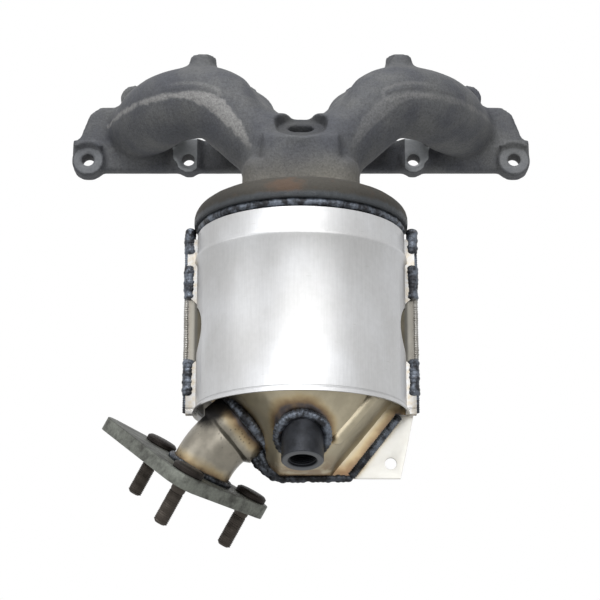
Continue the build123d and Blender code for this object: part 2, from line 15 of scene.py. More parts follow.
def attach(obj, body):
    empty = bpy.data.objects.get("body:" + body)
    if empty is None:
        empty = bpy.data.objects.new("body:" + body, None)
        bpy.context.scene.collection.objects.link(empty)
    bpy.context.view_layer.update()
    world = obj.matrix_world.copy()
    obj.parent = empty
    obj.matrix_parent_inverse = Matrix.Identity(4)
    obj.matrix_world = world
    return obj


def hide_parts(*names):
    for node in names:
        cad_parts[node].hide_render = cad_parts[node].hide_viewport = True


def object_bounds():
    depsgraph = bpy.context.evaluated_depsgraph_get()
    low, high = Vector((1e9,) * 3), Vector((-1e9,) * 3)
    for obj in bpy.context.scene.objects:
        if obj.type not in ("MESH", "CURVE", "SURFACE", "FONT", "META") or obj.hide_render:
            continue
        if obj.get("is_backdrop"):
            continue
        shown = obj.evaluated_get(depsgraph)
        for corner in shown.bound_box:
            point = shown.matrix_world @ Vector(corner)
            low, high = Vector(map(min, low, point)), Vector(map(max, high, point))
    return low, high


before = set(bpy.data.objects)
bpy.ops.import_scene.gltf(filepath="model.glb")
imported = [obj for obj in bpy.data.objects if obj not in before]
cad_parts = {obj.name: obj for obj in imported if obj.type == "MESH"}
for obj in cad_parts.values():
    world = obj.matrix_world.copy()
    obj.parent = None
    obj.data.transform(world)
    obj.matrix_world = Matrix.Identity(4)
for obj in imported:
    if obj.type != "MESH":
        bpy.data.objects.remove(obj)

logger = logging.getLogger("converter")

MM = 0.001
BODY = "root"
CAN_Y = -88.0
CAN_RADIUS = 66.0
COLLAR_BOTTOM = -105.0
STUB_CENTRE = Vector((-40.0, CAN_Y, -243.0))
STUB_AXIS = Vector((-0.764, 0.063, -0.642)).normalized()
STUB_RADIUS = 24.0
FLANGE_AXIS = Vector((-0.485, 0.25, -0.838)).normalized()
FLANGE_CENTRE = STUB_CENTRE + 27.0 * STUB_AXIS + 27.0 * FLANGE_AXIS
FLANGE_THICK = 9.5
PIPE_RADIUS = 20.5
BUNG_MOUTH = Vector((1.0, -137.0, -279.0))
BUNG_TILT = math.radians(74.2)
BUNG_AXIS = Vector((0.0, -math.cos(BUNG_TILT), -math.sin(BUNG_TILT)))
BUNG_RADIUS = 14.0
SENSOR_TILT = math.radians(37.5)
SENSOR_SEAT = Vector((0.0, -103.0, -34.3))
SENSOR_AXIS = Vector((0.0, -math.sin(SENSOR_TILT), math.cos(SENSOR_TILT)))
SEAM_HALF_WIDTH = 78.8
THREAD_RIDGE = 0.5
TURNED_CREASE = 38.0
WANDER_SEED = 1795786843
CAN_MIDDLE = Vector((0.0, CAN_Y, 0.0))
UP = Vector((0.0, 0.0, 1.0))
WHITE = (1.0, 1.0, 1.0, 1.0)
DIAGONAL_SEAM = ((66.3, -238.5), (34.3, -279.2))
BOTTOM_SEAM = (
    (32.0, -281.5), (8.0, -281.0), (-14.0, -281.5), (-22.5, -278.5), (-28.5, -272.5), (-31.0, -268.0)
)
ROOT_GAP = ((-17.0, -278.0), (-21.5, -274.0), (-24.5, -269.0), (-26.3, -265.0), (-27.2, -261.5))
BRACKET_SEAM = ((35.0, -274.5), (60.0, -242.5))


def rgb(red: float, green: float, blue: float) -> tuple[float, float, float, float]:
    """Turns a display colour, each part from 0 to 255, into the linear colour that a shader takes."""
    channels = []
    for value in (red, green, blue):
        share = value / 255.0
        channels.append(share / 12.92 if share <= 0.04045 else ((share + 0.055) / 1.055) ** 2.4)
    return (channels[0], channels[1], channels[2], 1.0)


def in_seam(points: Sequence[tuple[float, float]], depth: float = 0.0) -> list[Vector]:
    """Places (x, z) points in the plane where the can's halves meet, or at a depth behind it."""
    return [Vector((x, CAN_Y + depth, z)) for x, z in points]


class Slot(Enum):
    """The record's material slots."""

    CASTING = "casting"
    WELD = "weld"
    SHELL = "shell"
    CERAMIC = "ceramic"
    MAT = "mat"
    SHIELD = "shield"
    BUNG = "bung"
    PIPE = "pipe"
    FLANGE = "flange"
    STUD = "stud"
    BRACKET = "bracket"


class Term:
    """A number socket that takes part in Python arithmetic by adding Math nodes."""

    def __init__(self, graph: "Graph", socket: bpy.types.NodeSocket) -> None:
        """Keeps the graph and the socket that carries the value."""
        self.graph = graph
        self.socket = socket

    def _math(self, operation: str, *values: Any, clamp: bool = False) -> "Term":
        """Adds a Math node with its inputs in order, and holds the result between 0 and 1 on request."""
        sockets = dict(enumerate(values))
        made = self.graph.add("ShaderNodeMath", {"operation": operation, "use_clamp": clamp}, sockets)
        return Term(self.graph, made.outputs[0])

    def __add__(self, other: Any) -> "Term":
        """Adds a number or a term."""
        return self._math("ADD", self, other)

    __radd__ = __add__

    def __sub__(self, other: Any) -> "Term":
        """Takes a number or a term away."""
        return self._math("SUBTRACT", self, other)

    def __rsub__(self, other: Any) -> "Term":
        """Takes this term away from a number."""
        return self._math("SUBTRACT", other, self)

    def __mul__(self, other: Any) -> "Term":
        """Multiplies by a number or a term."""
        return self._math("MULTIPLY", self, other)

    __rmul__ = __mul__

    def __truediv__(self, other: Any) -> "Term":
        """Divides by a number or a term."""
        return self._math("DIVIDE", self, other)

    def __pow__(self, other: Any) -> "Term":
        """Raises to a power."""
        return self._math("POWER", self, other)

    def low(self, other: Any) -> "Term":
        """Takes the smaller of two values."""
        return self._math("MINIMUM", self, other)

    def high(self, other: Any) -> "Term":
        """Takes the larger of two values."""
        return self._math("MAXIMUM", self, other)

    def size(self) -> "Term":
        """Takes the value without its sign."""
        return self._math("ABSOLUTE", self)

    def wave(self) -> "Term":
        """Takes the sine of the value."""
        return self._math("SINE", self)

    def held(self) -> "Term":
        """Holds the value between 0 and 1."""
        return self._math("ADD", self, 0.0, clamp=True)

    def step(self, start: float, end: float) -> "Term":
        """Rises or falls smoothly between two values.

        Args:
            start: The value at which the result is 0.
            end: The value at which the result is 1.

        Returns:
            A mask from 0 to 1.
        """
        low, high, first, last = (start, end, 0.0, 1.0) if start < end else (end, start, 1.0, 0.0)
        made = self.graph.add(
            "ShaderNodeMapRange",
            {"interpolation_type": "SMOOTHSTEP"},
            {"Value": self, "From Min": low, "From Max": high, "To Min": first, "To Max": last},
        )
        return Term(self.graph, made.outputs[0])


class Graph:
    """A node tree under construction."""

    def __init__(self, tree: bpy.types.NodeTree) -> None:
        """Starts with an empty tree."""
        self.tree = tree
        tree.nodes.clear()

    def feed(self, socket: bpy.types.NodeSocket, value: Any) -> None:
        """Links a term or socket to an input, or writes a plain value on it."""
        if isinstance(value, Term):
            self.tree.links.new(value.socket, socket)
        elif isinstance(value, bpy.types.NodeSocket):
            self.tree.links.new(value, socket)
        else:
            socket.default_value = value

    def add(
        self, kind: str, settings: dict[str, Any] | None = None, sockets: dict[Any, Any] | None = None
    ) -> bpy.types.Node:
        """Adds a node, sets its settings first and then feeds its sockets.

        Args:
            kind: The node's type.
            settings: Its properties; "stops" fills a colour ramp with (place, colour) pairs.
            sockets: Values or links by socket name, identifier or number.

        Returns:
            The new node.
        """
        made = self.tree.nodes.new(kind)
        for name, value in (settings or {}).items():
            if name == "stops":
                elements = made.color_ramp.elements
                while len(elements) < len(value):
                    elements.new(1.0)
                for element, (place, colour) in zip(elements, value):
                    element.position = place
                    element.color = colour
            else:
                setattr(made, name, value)
        for key, value in (sockets or {}).items():
            if isinstance(key, int):
                socket = made.inputs[key]
            else:
                named = [one for one in made.inputs if one.identifier == key]
                socket = named[0] if named else made.inputs[key]
            self.feed(socket, value)
        return made


class Shader(Graph):
    """A material's graph, with places in millimetres."""

    oxides: tuple = (
        (0.0, rgb(48, 43, 41)),
        (0.12, rgb(86, 80, 80)),
        (0.26, rgb(128, 108, 84)),
        (0.55, rgb(174, 156, 122)),
        (1.0, rgb(204, 195, 172)),
    )

    def __init__(self, name: str) -> None:
        """Makes the material and its place vector."""
        self.material = bpy.data.materials.new(name)
        self.material.use_nodes = True
        super().__init__(self.material.node_tree)
        sockets = {0: self.add("ShaderNodeTexCoord").outputs["Object"], "Scale": 1 / MM}
        self.place = self.add("ShaderNodeVectorMath", {"operation": "SCALE"}, sockets).outputs[0]
        split = self.add("ShaderNodeSeparateXYZ", None, {0: self.place})
        self.x, self.y, self.z = (Term(self, split.outputs[axis]) for axis in range(3))

    def noise(
        self, scale: float, detail: float = 3.0, roughness: float = 0.55, stretch: Vector | None = None
    ) -> Term:
        """Makes cloud noise from 0 to 1.

        Args:
            scale: Features per millimetre.
            detail: Octaves.
            roughness: Weight of the fine octaves.
            stretch: How much the pattern is squeezed along each axis.

        Returns:
            The noise.
        """
        place = self.place
        if stretch is not None:
            sockets = {0: place, 1: tuple(stretch)}
            place = self.add("ShaderNodeVectorMath", {"operation": "MULTIPLY"}, sockets).outputs[0]
        sockets = {"Vector": place, "Scale": scale, "Detail": detail, "Roughness": roughness}
        made = self.add("ShaderNodeTexNoise", None, sockets)
        return Term(self, made.outputs[0])

    def attribute(self, name: str) -> Term:
        """Reads a number that is kept on the mesh's points."""
        made = self.add("ShaderNodeAttribute", {"attribute_name": name})
        return Term(self, made.outputs["Fac"])

    def cells(self, scale: float) -> Term:
        """Makes the distance to scattered points, as many per millimetre as the scale says."""
        made = self.add("ShaderNodeTexVoronoi", {"feature": "F1"}, {"Vector": self.place, "Scale": scale})
        return Term(self, made.outputs["Distance"])

    def away(self, point: Sequence[float]) -> Term:
        """Measures the distance from a point in millimetres."""
        made = self.add("ShaderNodeVectorMath", {"operation": "DISTANCE"}, {0: self.place, 1: tuple(point)})
        return Term(self, made.outputs["Value"])

    def along(self, point: Sequence[float], axis: Sequence[float]) -> Term:
        """Measures the height in millimetres over the plane that a point and its unit normal give."""
        moved = self.add("ShaderNodeVectorMath", {"operation": "SUBTRACT"}, {0: self.place, 1: tuple(point)})
        sockets = {0: moved.outputs[0], 1: tuple(axis)}
        made = self.add("ShaderNodeVectorMath", {"operation": "DOT_PRODUCT"}, sockets)
        return Term(self, made.outputs["Value"])

    def off_axis(self, point: Sequence[float], axis: Sequence[float]) -> Term:
        """Measures the distance from a line through a point."""
        reach = self.away(point)
        height = self.along(point, axis)
        return (reach * reach - height * height).high(0.0) ** 0.5

    def off_edge(self, start: Sequence[float], end: Sequence[float]) -> Term:
        """Measures the distance from a straight edge between two points."""
        line = Vector(end) - Vector(start)
        height = self.along(start, line.normalized())
        beyond = (height - line.length).high(0.0)
        before = (0.0 - height).high(0.0)
        across = self.off_axis(start, line.normalized())
        return (across * across + beyond * beyond + before * before) ** 0.5

    def blend(self, factor: Any, first: Any, second: Any) -> bpy.types.NodeSocket:
        """Mixes two colours or sockets; the factor is 0 for the first and 1 for the second."""
        sockets = {"Factor_Float": factor, "A_Color": first, "B_Color": second}
        return self.add("ShaderNodeMix", {"data_type": "RGBA"}, sockets).outputs[2]

    def shade(self, factor: Any, colour: Any, strength: float) -> bpy.types.NodeSocket:
        """Darkens a colour by a mask; the strength is the share taken away where the mask is 1."""
        left = 1.0 - strength
        sockets = {"Factor_Float": factor, "A_Color": colour, "B_Color": (left, left, left, 1.0)}
        settings = {"data_type": "RGBA", "blend_type": "MULTIPLY"}
        return self.add("ShaderNodeMix", settings, sockets).outputs[2]

    def ramp(self, factor: Term, stops: Sequence[tuple[float, tuple]]) -> bpy.types.NodeSocket:
        """Looks a colour up on a ramp."""
        made = self.add("ShaderNodeValToRGB", {"stops": stops}, {"Fac": factor})
        return made.outputs["Color"]

    def bump(self, height: Term, depth: float, under: Any = None) -> bpy.types.NodeSocket:
        """Makes relief of a depth in millimetres from a height of 0 to 1, over coarser relief if given."""
        sockets = {"Height": height, "Distance": depth * MM, "Strength": 1.0}
        if under is not None:
            sockets["Normal"] = under
        return self.add("ShaderNodeBump", None, sockets).outputs[0]

    def heat_tint(self, distance: Term, metal: Any, reach: float) -> bpy.types.NodeSocket:
        """Colours metal by the heat of a weld: soot, blue, brown and straw with growing distance.

        Args:
            distance: Distance from the weld in millimetres.
            metal: The colour of the cool metal.
            reach: How far the straw goes, in millimetres.

        Returns:
            The tinted colour.
        """
        wander = (self.noise(0.09, 4.0) - 0.5) * (0.5 * reach)
        share = ((distance + wander) / reach).held()
        return self.blend(share.step(0.35, 1.0), self.ramp(share, self.oxides), metal)

    def finish(self, colour: Any, metallic: float, rough: Any, **others: Any) -> bpy.types.Material:
        """Adds the surface shader, with other sockets named with _ for a space, and ends the material."""
        sockets = {"Base Color": colour, "Metallic": metallic, "Roughness": rough}
        sockets |= {key.replace("_", " "): value for key, value in others.items()}
        surface = self.add("ShaderNodeBsdfPrincipled", None, sockets)
        self.add("ShaderNodeOutputMaterial", None, {"Surface": surface.outputs[0]})
        return self.material


@dataclass(frozen=True)
class CastIron:
    """Rough sand-cast iron: painted shade in hollows and recesses, a dressed parting line, machined faces and
    some rust.
    """

    skin: tuple = rgb(95, 96, 97)
    cool: tuple = rgb(73, 75, 81)
    dressed: tuple = rgb(160, 159, 157)
    machined: tuple = rgb(148, 151, 154)
    neck: tuple = rgb(108, 104, 94)
    lip: tuple = rgb(47, 44, 38)
    burnt_and_shadow_tone: tuple = rgb(50, 54, 58)
    rust: tuple = rgb(84, 62, 45)
    rust_spot: Vector = Vector((-11.0, -162.0, -97.5))
    outer_bolt: tuple = (159.0, -25.5)
    outer_pad: float = 11.0
    inner_pad: tuple = (86.8, 9.2)
    lug_face: float = -14.0
    lug_bottom: float = -36.5
    neck_fade: tuple = (-52.0, -80.0)
    band_side: tuple = (20.0, -50.0)
    band_end: tuple = (-60.0, -40.0)
    fold: float = 4.5
    fold_front: tuple = (-86.0, -94.0)
    lip_edge: tuple = (-83.5, -86.5)
    lip_shaded_sides: tuple = (20.0, 58.0)
    burn_and_shadow_edge: tuple = (-99.5, -102.5)
    pocket_wall: tuple = (19.6, 18.4)
    pocket_floor: tuple = (-14.0, -10.0)
    pocket_mouth: tuple = (9.0, 4.0)

    def pads(self, shader: Shader) -> Term:
        """Marks the machined faces round the lower bolt holes, from 0 to 1."""
        level = (shader.y - self.lug_face).size().step(0.8, 0.4)
        across, height = self.outer_bolt
        aside, above = shader.x.size() - across, shader.z - height
        outer = (aside * aside + above * above).step(self.outer_pad**2, (self.outer_pad - 1.0) ** 2) * 0.22
        middle, half = self.inner_pad
        inner = (shader.x.size() - middle).size().step(half + 0.3, half - 0.5)
        inner = inner * shader.z.step(self.lug_bottom, self.lug_bottom + 0.8) * shader.z.step(-3.0, -8.0)
        return level * outer.high(inner)

    def band(self, shader: Shader, grain: Term, lumps: Term, speck: Term) -> Term:
        """Marks the ground band along the parting line, whose edge the noises make ragged."""
        ragged = (grain - 0.5) * 4.0 + (lumps - 0.5) * 6.0
        band = (shader.attribute("dressing") + ragged).step(0.9, -1.2)
        band = band * (shader.x.step(*self.band_side) * 0.4 + 0.2) * shader.z.step(*self.band_end)
        return band * (0.55 + 0.6 * speck)

    def stain(self, shader: Shader, blotch: Term, lumps: Term) -> Term:
        """Marks the rust on the collar: one uneven spot at the front and faint patches."""
        away = shader.away(self.rust_spot) + (blotch - 0.5) * 30.0 + (lumps - 0.5) * 16.0
        patches = shader.noise(0.12, 5.0, 0.65).step(0.52, 0.75) * 0.5
        return shader.z.step(*self.lip_edge) * away.step(17.0, 4.0).high(patches)

    def pocket_shade(self, shader: Shader) -> Term:
        """Marks the painted shade in the recess round the sensor's seat, from 0 to 1."""
        height = shader.along(SENSOR_SEAT, SENSOR_AXIS)
        wall = shader.off_axis(SENSOR_SEAT, SENSOR_AXIS).step(*self.pocket_wall)
        return wall * height.step(*self.pocket_floor) * height.step(*self.pocket_mouth)

    def material(self) -> bpy.types.Material:
        """Builds the finish."""
        shader = Shader("cast_iron")
        grain = shader.noise(0.8, 4.0, 0.72)
        speck = shader.noise(0.5, 2.0, 0.8)
        lumps = shader.noise(0.16, 3.0, 0.5)
        blotch = shader.noise(0.04, 4.0, 0.55)
        colour = shader.blend(blotch.step(0.3, 0.72), self.cool, self.skin)
        # painted shade in the hollows, as deep as the skin was lifted out of them
        colour = shader.shade(shader.attribute("shelter"), colour, 0.36)
        colour = shader.blend(shader.z.step(*self.neck_fade) * (0.4 + 0.5 * blotch), colour, self.neck)
        band = self.band(shader, grain, lumps, speck)
        colour = shader.blend(band, colour, self.dressed)
        seam = shader.attribute("seam")
        # painted highlight on the fold beside the parting line
        glow = (seam - self.fold).size().step(2.2, 0.6) * (1.0 - band) * shader.y.step(*self.fold_front)
        colour = shader.blend(glow * 0.16, colour, self.dressed)
        # painted shade along the ridge of the parting line
        colour = shader.shade(seam.step(1.8, 0.2) * (1.0 - band), colour, 0.2)
        colour = shader.shade(grain.step(0.62, 0.4), colour, 0.24)
        colour = shader.shade(speck.step(0.56, 0.36), colour, 0.22)
        lip = shader.z.step(*self.lip_edge)
        colour = shader.blend(lip * (0.7 + 0.3 * grain), colour, self.lip)
        # painted shade on the collar's sides, which turn away from the light
        colour = shader.shade(lip * shader.x.size().step(*self.lip_shaded_sides), colour, 0.3)
        colour = shader.blend(self.stain(shader, blotch, lumps) * 0.6, colour, self.rust)
        burn_and_shadow = (shader.z + (lumps - 0.5) * 4.0).step(*self.burn_and_shadow_edge)
        colour = shader.blend(burn_and_shadow * 0.92, colour, self.burnt_and_shadow_tone)
        # painted shade in the sensor's recess
        colour = shader.shade(self.pocket_shade(shader), colour, 0.45)
        cut = shader.y.step(-0.7, -0.2).high(self.pads(shader))
        colour = shader.blend(cut * (0.6 + 0.5 * speck).low(1.0), colour, self.machined)
        rough = 0.6 + 0.22 * grain - 0.22 * cut - 0.1 * band - 0.18 * burn_and_shadow
        relief = shader.bump(lumps, 0.4)
        relief = shader.bump(grain * (1.0 - 0.85 * cut), 0.42, relief)
        pits = shader.cells(0.7).step(0.2, 0.04) * (1.0 - cut)
        relief = shader.bump(1.0 - pits, 0.16, relief)
        return shader.finish(colour, 0.3, rough, Normal=relief)


@dataclass(frozen=True)
class WeldMetal:
    """Bead metal: dark blue-grey and glossy, sooty in places, and bare along the open seam."""

    bead: tuple = rgb(108, 115, 126)
    darker_tone: tuple = rgb(42, 43, 47)
    rust: tuple = rgb(88, 66, 50)
    bare: tuple = rgb(172, 168, 160)
    open_side: tuple = (75.5, 77.0)
    open_middle: float = -177.0
    open_half: float = 21.0
    dark_below: tuple = (-262.0, -272.0)

    def material(self) -> bpy.types.Material:
        """Builds the finish."""
        shader = Shader("weld_metal")
        patches = shader.noise(0.14, 4.0, 0.6)
        fine = shader.noise(0.9, 3.0, 0.6)
        colour = shader.blend(patches.step(0.4, 0.62), self.darker_tone, self.bead)
        colour = shader.blend(shader.noise(0.2, 3.0).step(0.62, 0.78) * 0.5, colour, self.rust)
        height = (shader.z - self.open_middle).size()
        open_seam = height.step(self.open_half + 1.5, self.open_half - 1.5)
        open_seam = shader.x.size().step(*self.open_side) * open_seam
        colour = shader.blend(open_seam * (0.35 + 0.6 * patches), colour, self.bare)
        colour = shader.shade(fine.step(0.6, 0.4), colour, 0.25)
        colour = shader.shade(shader.z.step(*self.dark_below), colour, 0.66)
        rough = 0.3 + 0.25 * fine
        relief = shader.bump(fine, 0.12)
        return shader.finish(colour, 0.65, rough, Normal=relief)


@dataclass(frozen=True)
class SatinSheet:
    """Bright satin sheet of the heat shields, with faint drawing lines, a few handling marks, painted shade
    in the groove of the lower lip and painted shadow under the can at its lower left.
    """

    metal: tuple = rgb(199, 200, 202)
    grey: tuple = rgb(184, 184, 184)
    straw: tuple = rgb(176, 164, 142)
    mark: tuple = rgb(150, 148, 144)
    burnt_and_shadow_tone: tuple = rgb(40, 40, 43)
    shadow_place: Vector = Vector((-66.0, -105.0, -237.0))
    burn_and_shadow_edge: tuple = (-235.0, -236.4)
    inner_place: Vector = Vector((-70.0, -78.0, -231.5))
    inner_wall: tuple = (71.4, 70.6)
    rear_half: tuple = (-90.0, -86.0)
    tabs: tuple = (69.5, 73.5)
    rim_line: float = -233.4

    def material(self) -> bpy.types.Material:
        """Builds the finish."""
        shader = Shader("satin_sheet")
        lines = shader.noise(1.4, 2.0, 0.5, Vector((1.0, 1.0, 0.03)))
        smear = shader.noise(0.022, 3.0, 0.5)
        cloud = shader.noise(0.3, 4.0, 0.6)
        colour = shader.blend(smear.step(0.3, 0.75), self.grey, self.metal)
        colour = shader.shade(lines.step(0.6, 0.35), colour, 0.05)
        colour = shader.shade(cloud.step(0.62, 0.4), colour, 0.035)
        tab = shader.x.size().step(*self.tabs)
        colour = shader.blend(tab * cloud.step(0.3, 0.7) * 0.75, colour, self.straw)
        scratch = shader.noise(0.21, 1.0, 0.3, Vector((0.3, 0.3, 3.0))).step(0.765, 0.79)
        colour = shader.blend(scratch * 0.4, colour, self.mark)
        # painted shade in the groove above the rolled lower lip; the bump below gives its real relief
        rim_groove_shade = (shader.z - self.rim_line).size().step(0.9, 0.3)
        colour = shader.shade(rim_groove_shade, colour, 0.16)
        # painted shadow under the can at its lower left, laid as a dark tone on the shield's lower edge
        burn_and_shadow = (shader.away(self.shadow_place) + (cloud - 0.5) * 8.0).step(19.0, 12.0)
        colour = shader.blend(burn_and_shadow * shader.z.step(*self.burn_and_shadow_edge) * 0.9, colour, self.burnt_and_shadow_tone)
        # painted shade inside the rear shield's wall at the same place
        inner_shadow = shader.away(self.inner_place).step(15.0, 9.0) * shader.y.step(*self.rear_half)
        inner_shadow = inner_shadow * shader.off_axis(CAN_MIDDLE, UP).step(*self.inner_wall)
        colour = shader.blend(inner_shadow * 0.85, colour, self.burnt_and_shadow_tone)
        rough = 0.4 + 0.05 * smear + 0.05 * lines
        relief = shader.bump(1.0 - rim_groove_shade, 0.3)
        relief = shader.bump(lines, 0.01, relief)
        return shader.finish(colour, 0.85, rough, Normal=relief)


@dataclass(frozen=True)
class TintedShell:
    """Bare sheet of the can and funnel, tinted by the welds round it, with painted shade beside the seam lips
    and painted shadow under the can's lower left.
    """

    metal: tuple = rgb(180, 171, 149)
    lip: tuple = rgb(182, 180, 174)
    burnt_and_shadow_tone: tuple = rgb(34, 34, 38)
    rust: tuple = rgb(108, 78, 54)
    shadow_place: Vector = Vector((-53.0, -109.0, -235.0))
    bottom_edge: tuple = ((32.0, -281.5), (-29.0, -277.0))
    bung_weld: float = 17.5
    groove_line: float = 70.6
    side_end: tuple = (-236.0, -232.0)
    under_shield_ring: tuple = (62.0, 68.0)
    under_shield_end: tuple = (-237.0, -222.0)
    rust_below: tuple = (-266.0, -279.0)

    def material(self) -> bpy.types.Material:
        """Builds the finish."""
        shader = Shader("tinted_shell")
        diagonal = shader.off_edge(*in_seam(DIAGONAL_SEAM))
        bottom = shader.off_edge(*in_seam(self.bottom_edge))
        bung = (shader.off_axis(BUNG_MOUTH, BUNG_AXIS) - self.bung_weld).high(0.0) * 2.0 + 2.4
        root = (shader.away(STUB_CENTRE) - STUB_RADIUS - 2.0).size() + 2.6
        edges = (SEAM_HALF_WIDTH - 0.5 - shader.x.size()).high(0.0) * 3.0 + 4.5
        top = (COLLAR_BOTTOM - 6.0 - shader.z).size() * 0.6
        distance = (diagonal.low(bottom).low(root) * 1.5).low(bung).low(edges).low(top)
        colour = shader.heat_tint(distance, self.metal, 20.0)
        smear = shader.noise(0.05, 4.0, 0.6)
        colour = shader.shade(smear.step(0.6, 0.35), colour, 0.16)
        side = shader.z.step(*self.side_end)
        lip = shader.x.size().step(self.groove_line, self.groove_line + 1.4) * side
        colour = shader.blend(lip * 0.75, colour, self.lip)
        # painted shade where the can's wall turns out into the seam lip, beside the shield's edge
        groove_shade = (shader.x.size() - self.groove_line).size().step(4.0, 1.8) * side
        colour = shader.shade(groove_shade, colour, 0.7)
        # darker just under the shields' lower edge
        darker_tone = shader.off_axis(CAN_MIDDLE, UP).step(*self.under_shield_ring) * shader.z.step(*self.under_shield_end)
        colour = shader.shade(darker_tone, colour, 0.35)
        low = shader.z.step(*self.rust_below) * shader.noise(0.12, 4.0, 0.6).step(0.3, 0.6)
        colour = shader.blend(low * 0.6, colour, self.rust)
        # painted shadow under the can at its lower left, where the pipe leaves it, laid as a dark tone
        burn_and_shadow = (shader.away(self.shadow_place) + (smear - 0.5) * 24.0).step(23.0, 10.0)
        colour = shader.blend(burn_and_shadow * 0.9, colour, self.burnt_and_shadow_tone)
        rough = 0.28 + 0.2 * smear + 0.35 * burn_and_shadow
        relief = shader.bump(shader.noise(0.05, 2.0), 0.9)
        relief = shader.bump(shader.noise(0.8, 3.0), 0.04, relief)
        return shader.finish(colour, 0.85, rough, Normal=relief)


@dataclass(frozen=True)
class SatinTube:
    """The outlet pipe: bright tube, tinted at both welded ends, with painted shadow under the can near its
    root.
    """

    metal: tuple = rgb(143, 138, 127)
    burnt_and_shadow_tone: tuple = rgb(36, 36, 39)
    shadow_place: Vector = Vector((-61.0, -103.0, -234.5))

    def material(self) -> bpy.types.Material:
        """Builds the finish."""
        shader = Shader("satin_tube")
        root = shader.along(STUB_CENTRE, STUB_AXIS).size()
        end = (shader.along(FLANGE_CENTRE, FLANGE_AXIS) + FLANGE_THICK).size()
        colour = shader.heat_tint(root.low(end), self.metal, 13.0)
        smear = shader.noise(0.07, 4.0, 0.6)
        colour = shader.shade(smear.step(0.62, 0.38), colour, 0.2)
        spots = shader.cells(0.35).step(0.3, 0.1) * shader.noise(0.06, 2.0).step(0.45, 0.6)
        colour = shader.shade(spots, colour, 0.45)
        colour = shader.shade(root.step(9.0, 1.0), colour, 0.42)
        # painted shadow under the can on the pipe's top near its root, laid as a dark tone
        burn_and_shadow = (shader.away(self.shadow_place) + (smear - 0.5) * 14.0).step(19.0, 9.0)
        colour = shader.blend(burn_and_shadow * 0.92, colour, self.burnt_and_shadow_tone)
        rough = 0.26 + 0.2 * smear + 0.35 * burn_and_shadow
        relief = shader.bump(shader.noise(0.06, 2.0), 0.7)
        return shader.finish(colour, 0.9, rough, Normal=relief)


@dataclass(frozen=True)
class CutPlate:
    """The outlet flange: scaled plate, grey-green, darker round the pipe."""

    plate: tuple = rgb(116, 119, 112)
    scale: tuple = rgb(66, 66, 62)

    def material(self) -> bpy.types.Material:
        """Builds the finish."""
        shader = Shader("cut_plate")
        patches = shader.noise(0.08, 4.0, 0.6)
        fine = shader.noise(0.7, 3.0, 0.6)
        colour = shader.blend(patches.step(0.3, 0.62), self.scale, self.plate)
        near = shader.off_axis(FLANGE_CENTRE, FLANGE_AXIS).step(32.0, 22.0)
        top = shader.along(FLANGE_CENTRE, FLANGE_AXIS).step(0.8 - FLANGE_THICK, 0.2 - FLANGE_THICK)
        colour = shader.shade(near.high(top), colour, 0.42)
        colour = shader.shade(fine.step(0.6, 0.4), colour, 0.2)
        rough = 0.42 + 0.22 * fine
        relief = shader.bump(fine, 0.12, shader.bump(patches, 0.5))
        return shader.finish(colour, 0.6, rough, Normal=relief)


@dataclass(frozen=True)
class DarkTurned:
    """Turned steel darkened by heat, with lathe lines round an axis and a bright cut mouth."""

    name: str
    metal: tuple
    bright: tuple
    origin: Vector
    axis: Vector
    pitch: float = 0.5
    gloss: float = 0.34

    def material(self) -> bpy.types.Material:
        """Builds the finish."""
        shader = Shader(self.name)
        height = shader.along(self.origin, self.axis)
        lathe = (height * (math.tau / self.pitch)).wave() * 0.5 + 0.5
        patches = shader.noise(0.16, 4.0, 0.6)
        colour = shader.shade(patches.step(0.6, 0.35), self.metal, 0.4)
        mouth = height.step(-0.9, -0.3)
        colour = shader.blend(mouth * 0.8, colour, self.bright)
        rough = self.gloss + 0.22 * patches
        relief = shader.bump(lathe, 0.03, shader.bump(shader.noise(0.9, 3.0), 0.06))
        return shader.finish(colour, 0.75, rough, Normal=relief)


@dataclass(frozen=True)
class BracketSheet:
    """Pale plated sheet of the bracket, with soft dents."""

    metal: tuple = rgb(214, 213, 208)
    dull: tuple = rgb(207, 205, 199)

    def material(self) -> bpy.types.Material:
        """Builds the finish."""
        shader = Shader("bracket_sheet")
        smear = shader.noise(0.07, 4.0, 0.6)
        colour = shader.blend(smear.step(0.35, 0.65), self.dull, self.metal)
        weld = shader.off_edge(*in_seam(BRACKET_SEAM))
        colour = shader.heat_tint(weld, colour, 9.0)
        rough = 0.42 + 0.16 * smear
        relief = shader.bump(shader.noise(0.08, 2.0), 0.4)
        return shader.finish(colour, 0.6, rough, Normal=relief)


@dataclass(frozen=True)
class HoneycombCeramic:
    """The monoliths' pale ceramic with its square cells, painted dark inside as shade."""

    body: tuple = rgb(206, 198, 176)
    cell_shade: tuple = rgb(92, 84, 70)
    cell: float = 1.27

    def material(self) -> bpy.types.Material:
        """Builds the finish."""
        shader = Shader("honeycomb_ceramic")
        turn = math.tau / self.cell
        walls = (shader.x * turn).wave().size().low((shader.y * turn).wave().size())
        open_cell = walls.step(0.25, 0.5)
        # painted shade in the open cells, which the mesh has no depth for
        colour = shader.blend(open_cell, self.body, self.cell_shade)
        relief = shader.bump(1.0 - open_cell, 0.4)
        return shader.finish(colour, 0.0, 0.9, Normal=relief)


@dataclass(frozen=True)
class FibreMat:
    """The white fibre mat round each monolith."""

    fibre: tuple = rgb(222, 218, 206)

    def material(self) -> bpy.types.Material:
        """Builds the finish."""
        shader = Shader("fibre_mat")
        hair = shader.noise(1.2, 5.0, 0.7, Vector((1.0, 1.0, 0.3)))
        colour = shader.shade(hair.step(0.6, 0.35), self.fibre, 0.25)
        relief = shader.bump(hair, 0.5)
        return shader.finish(colour, 0.0, 0.95, Normal=relief)


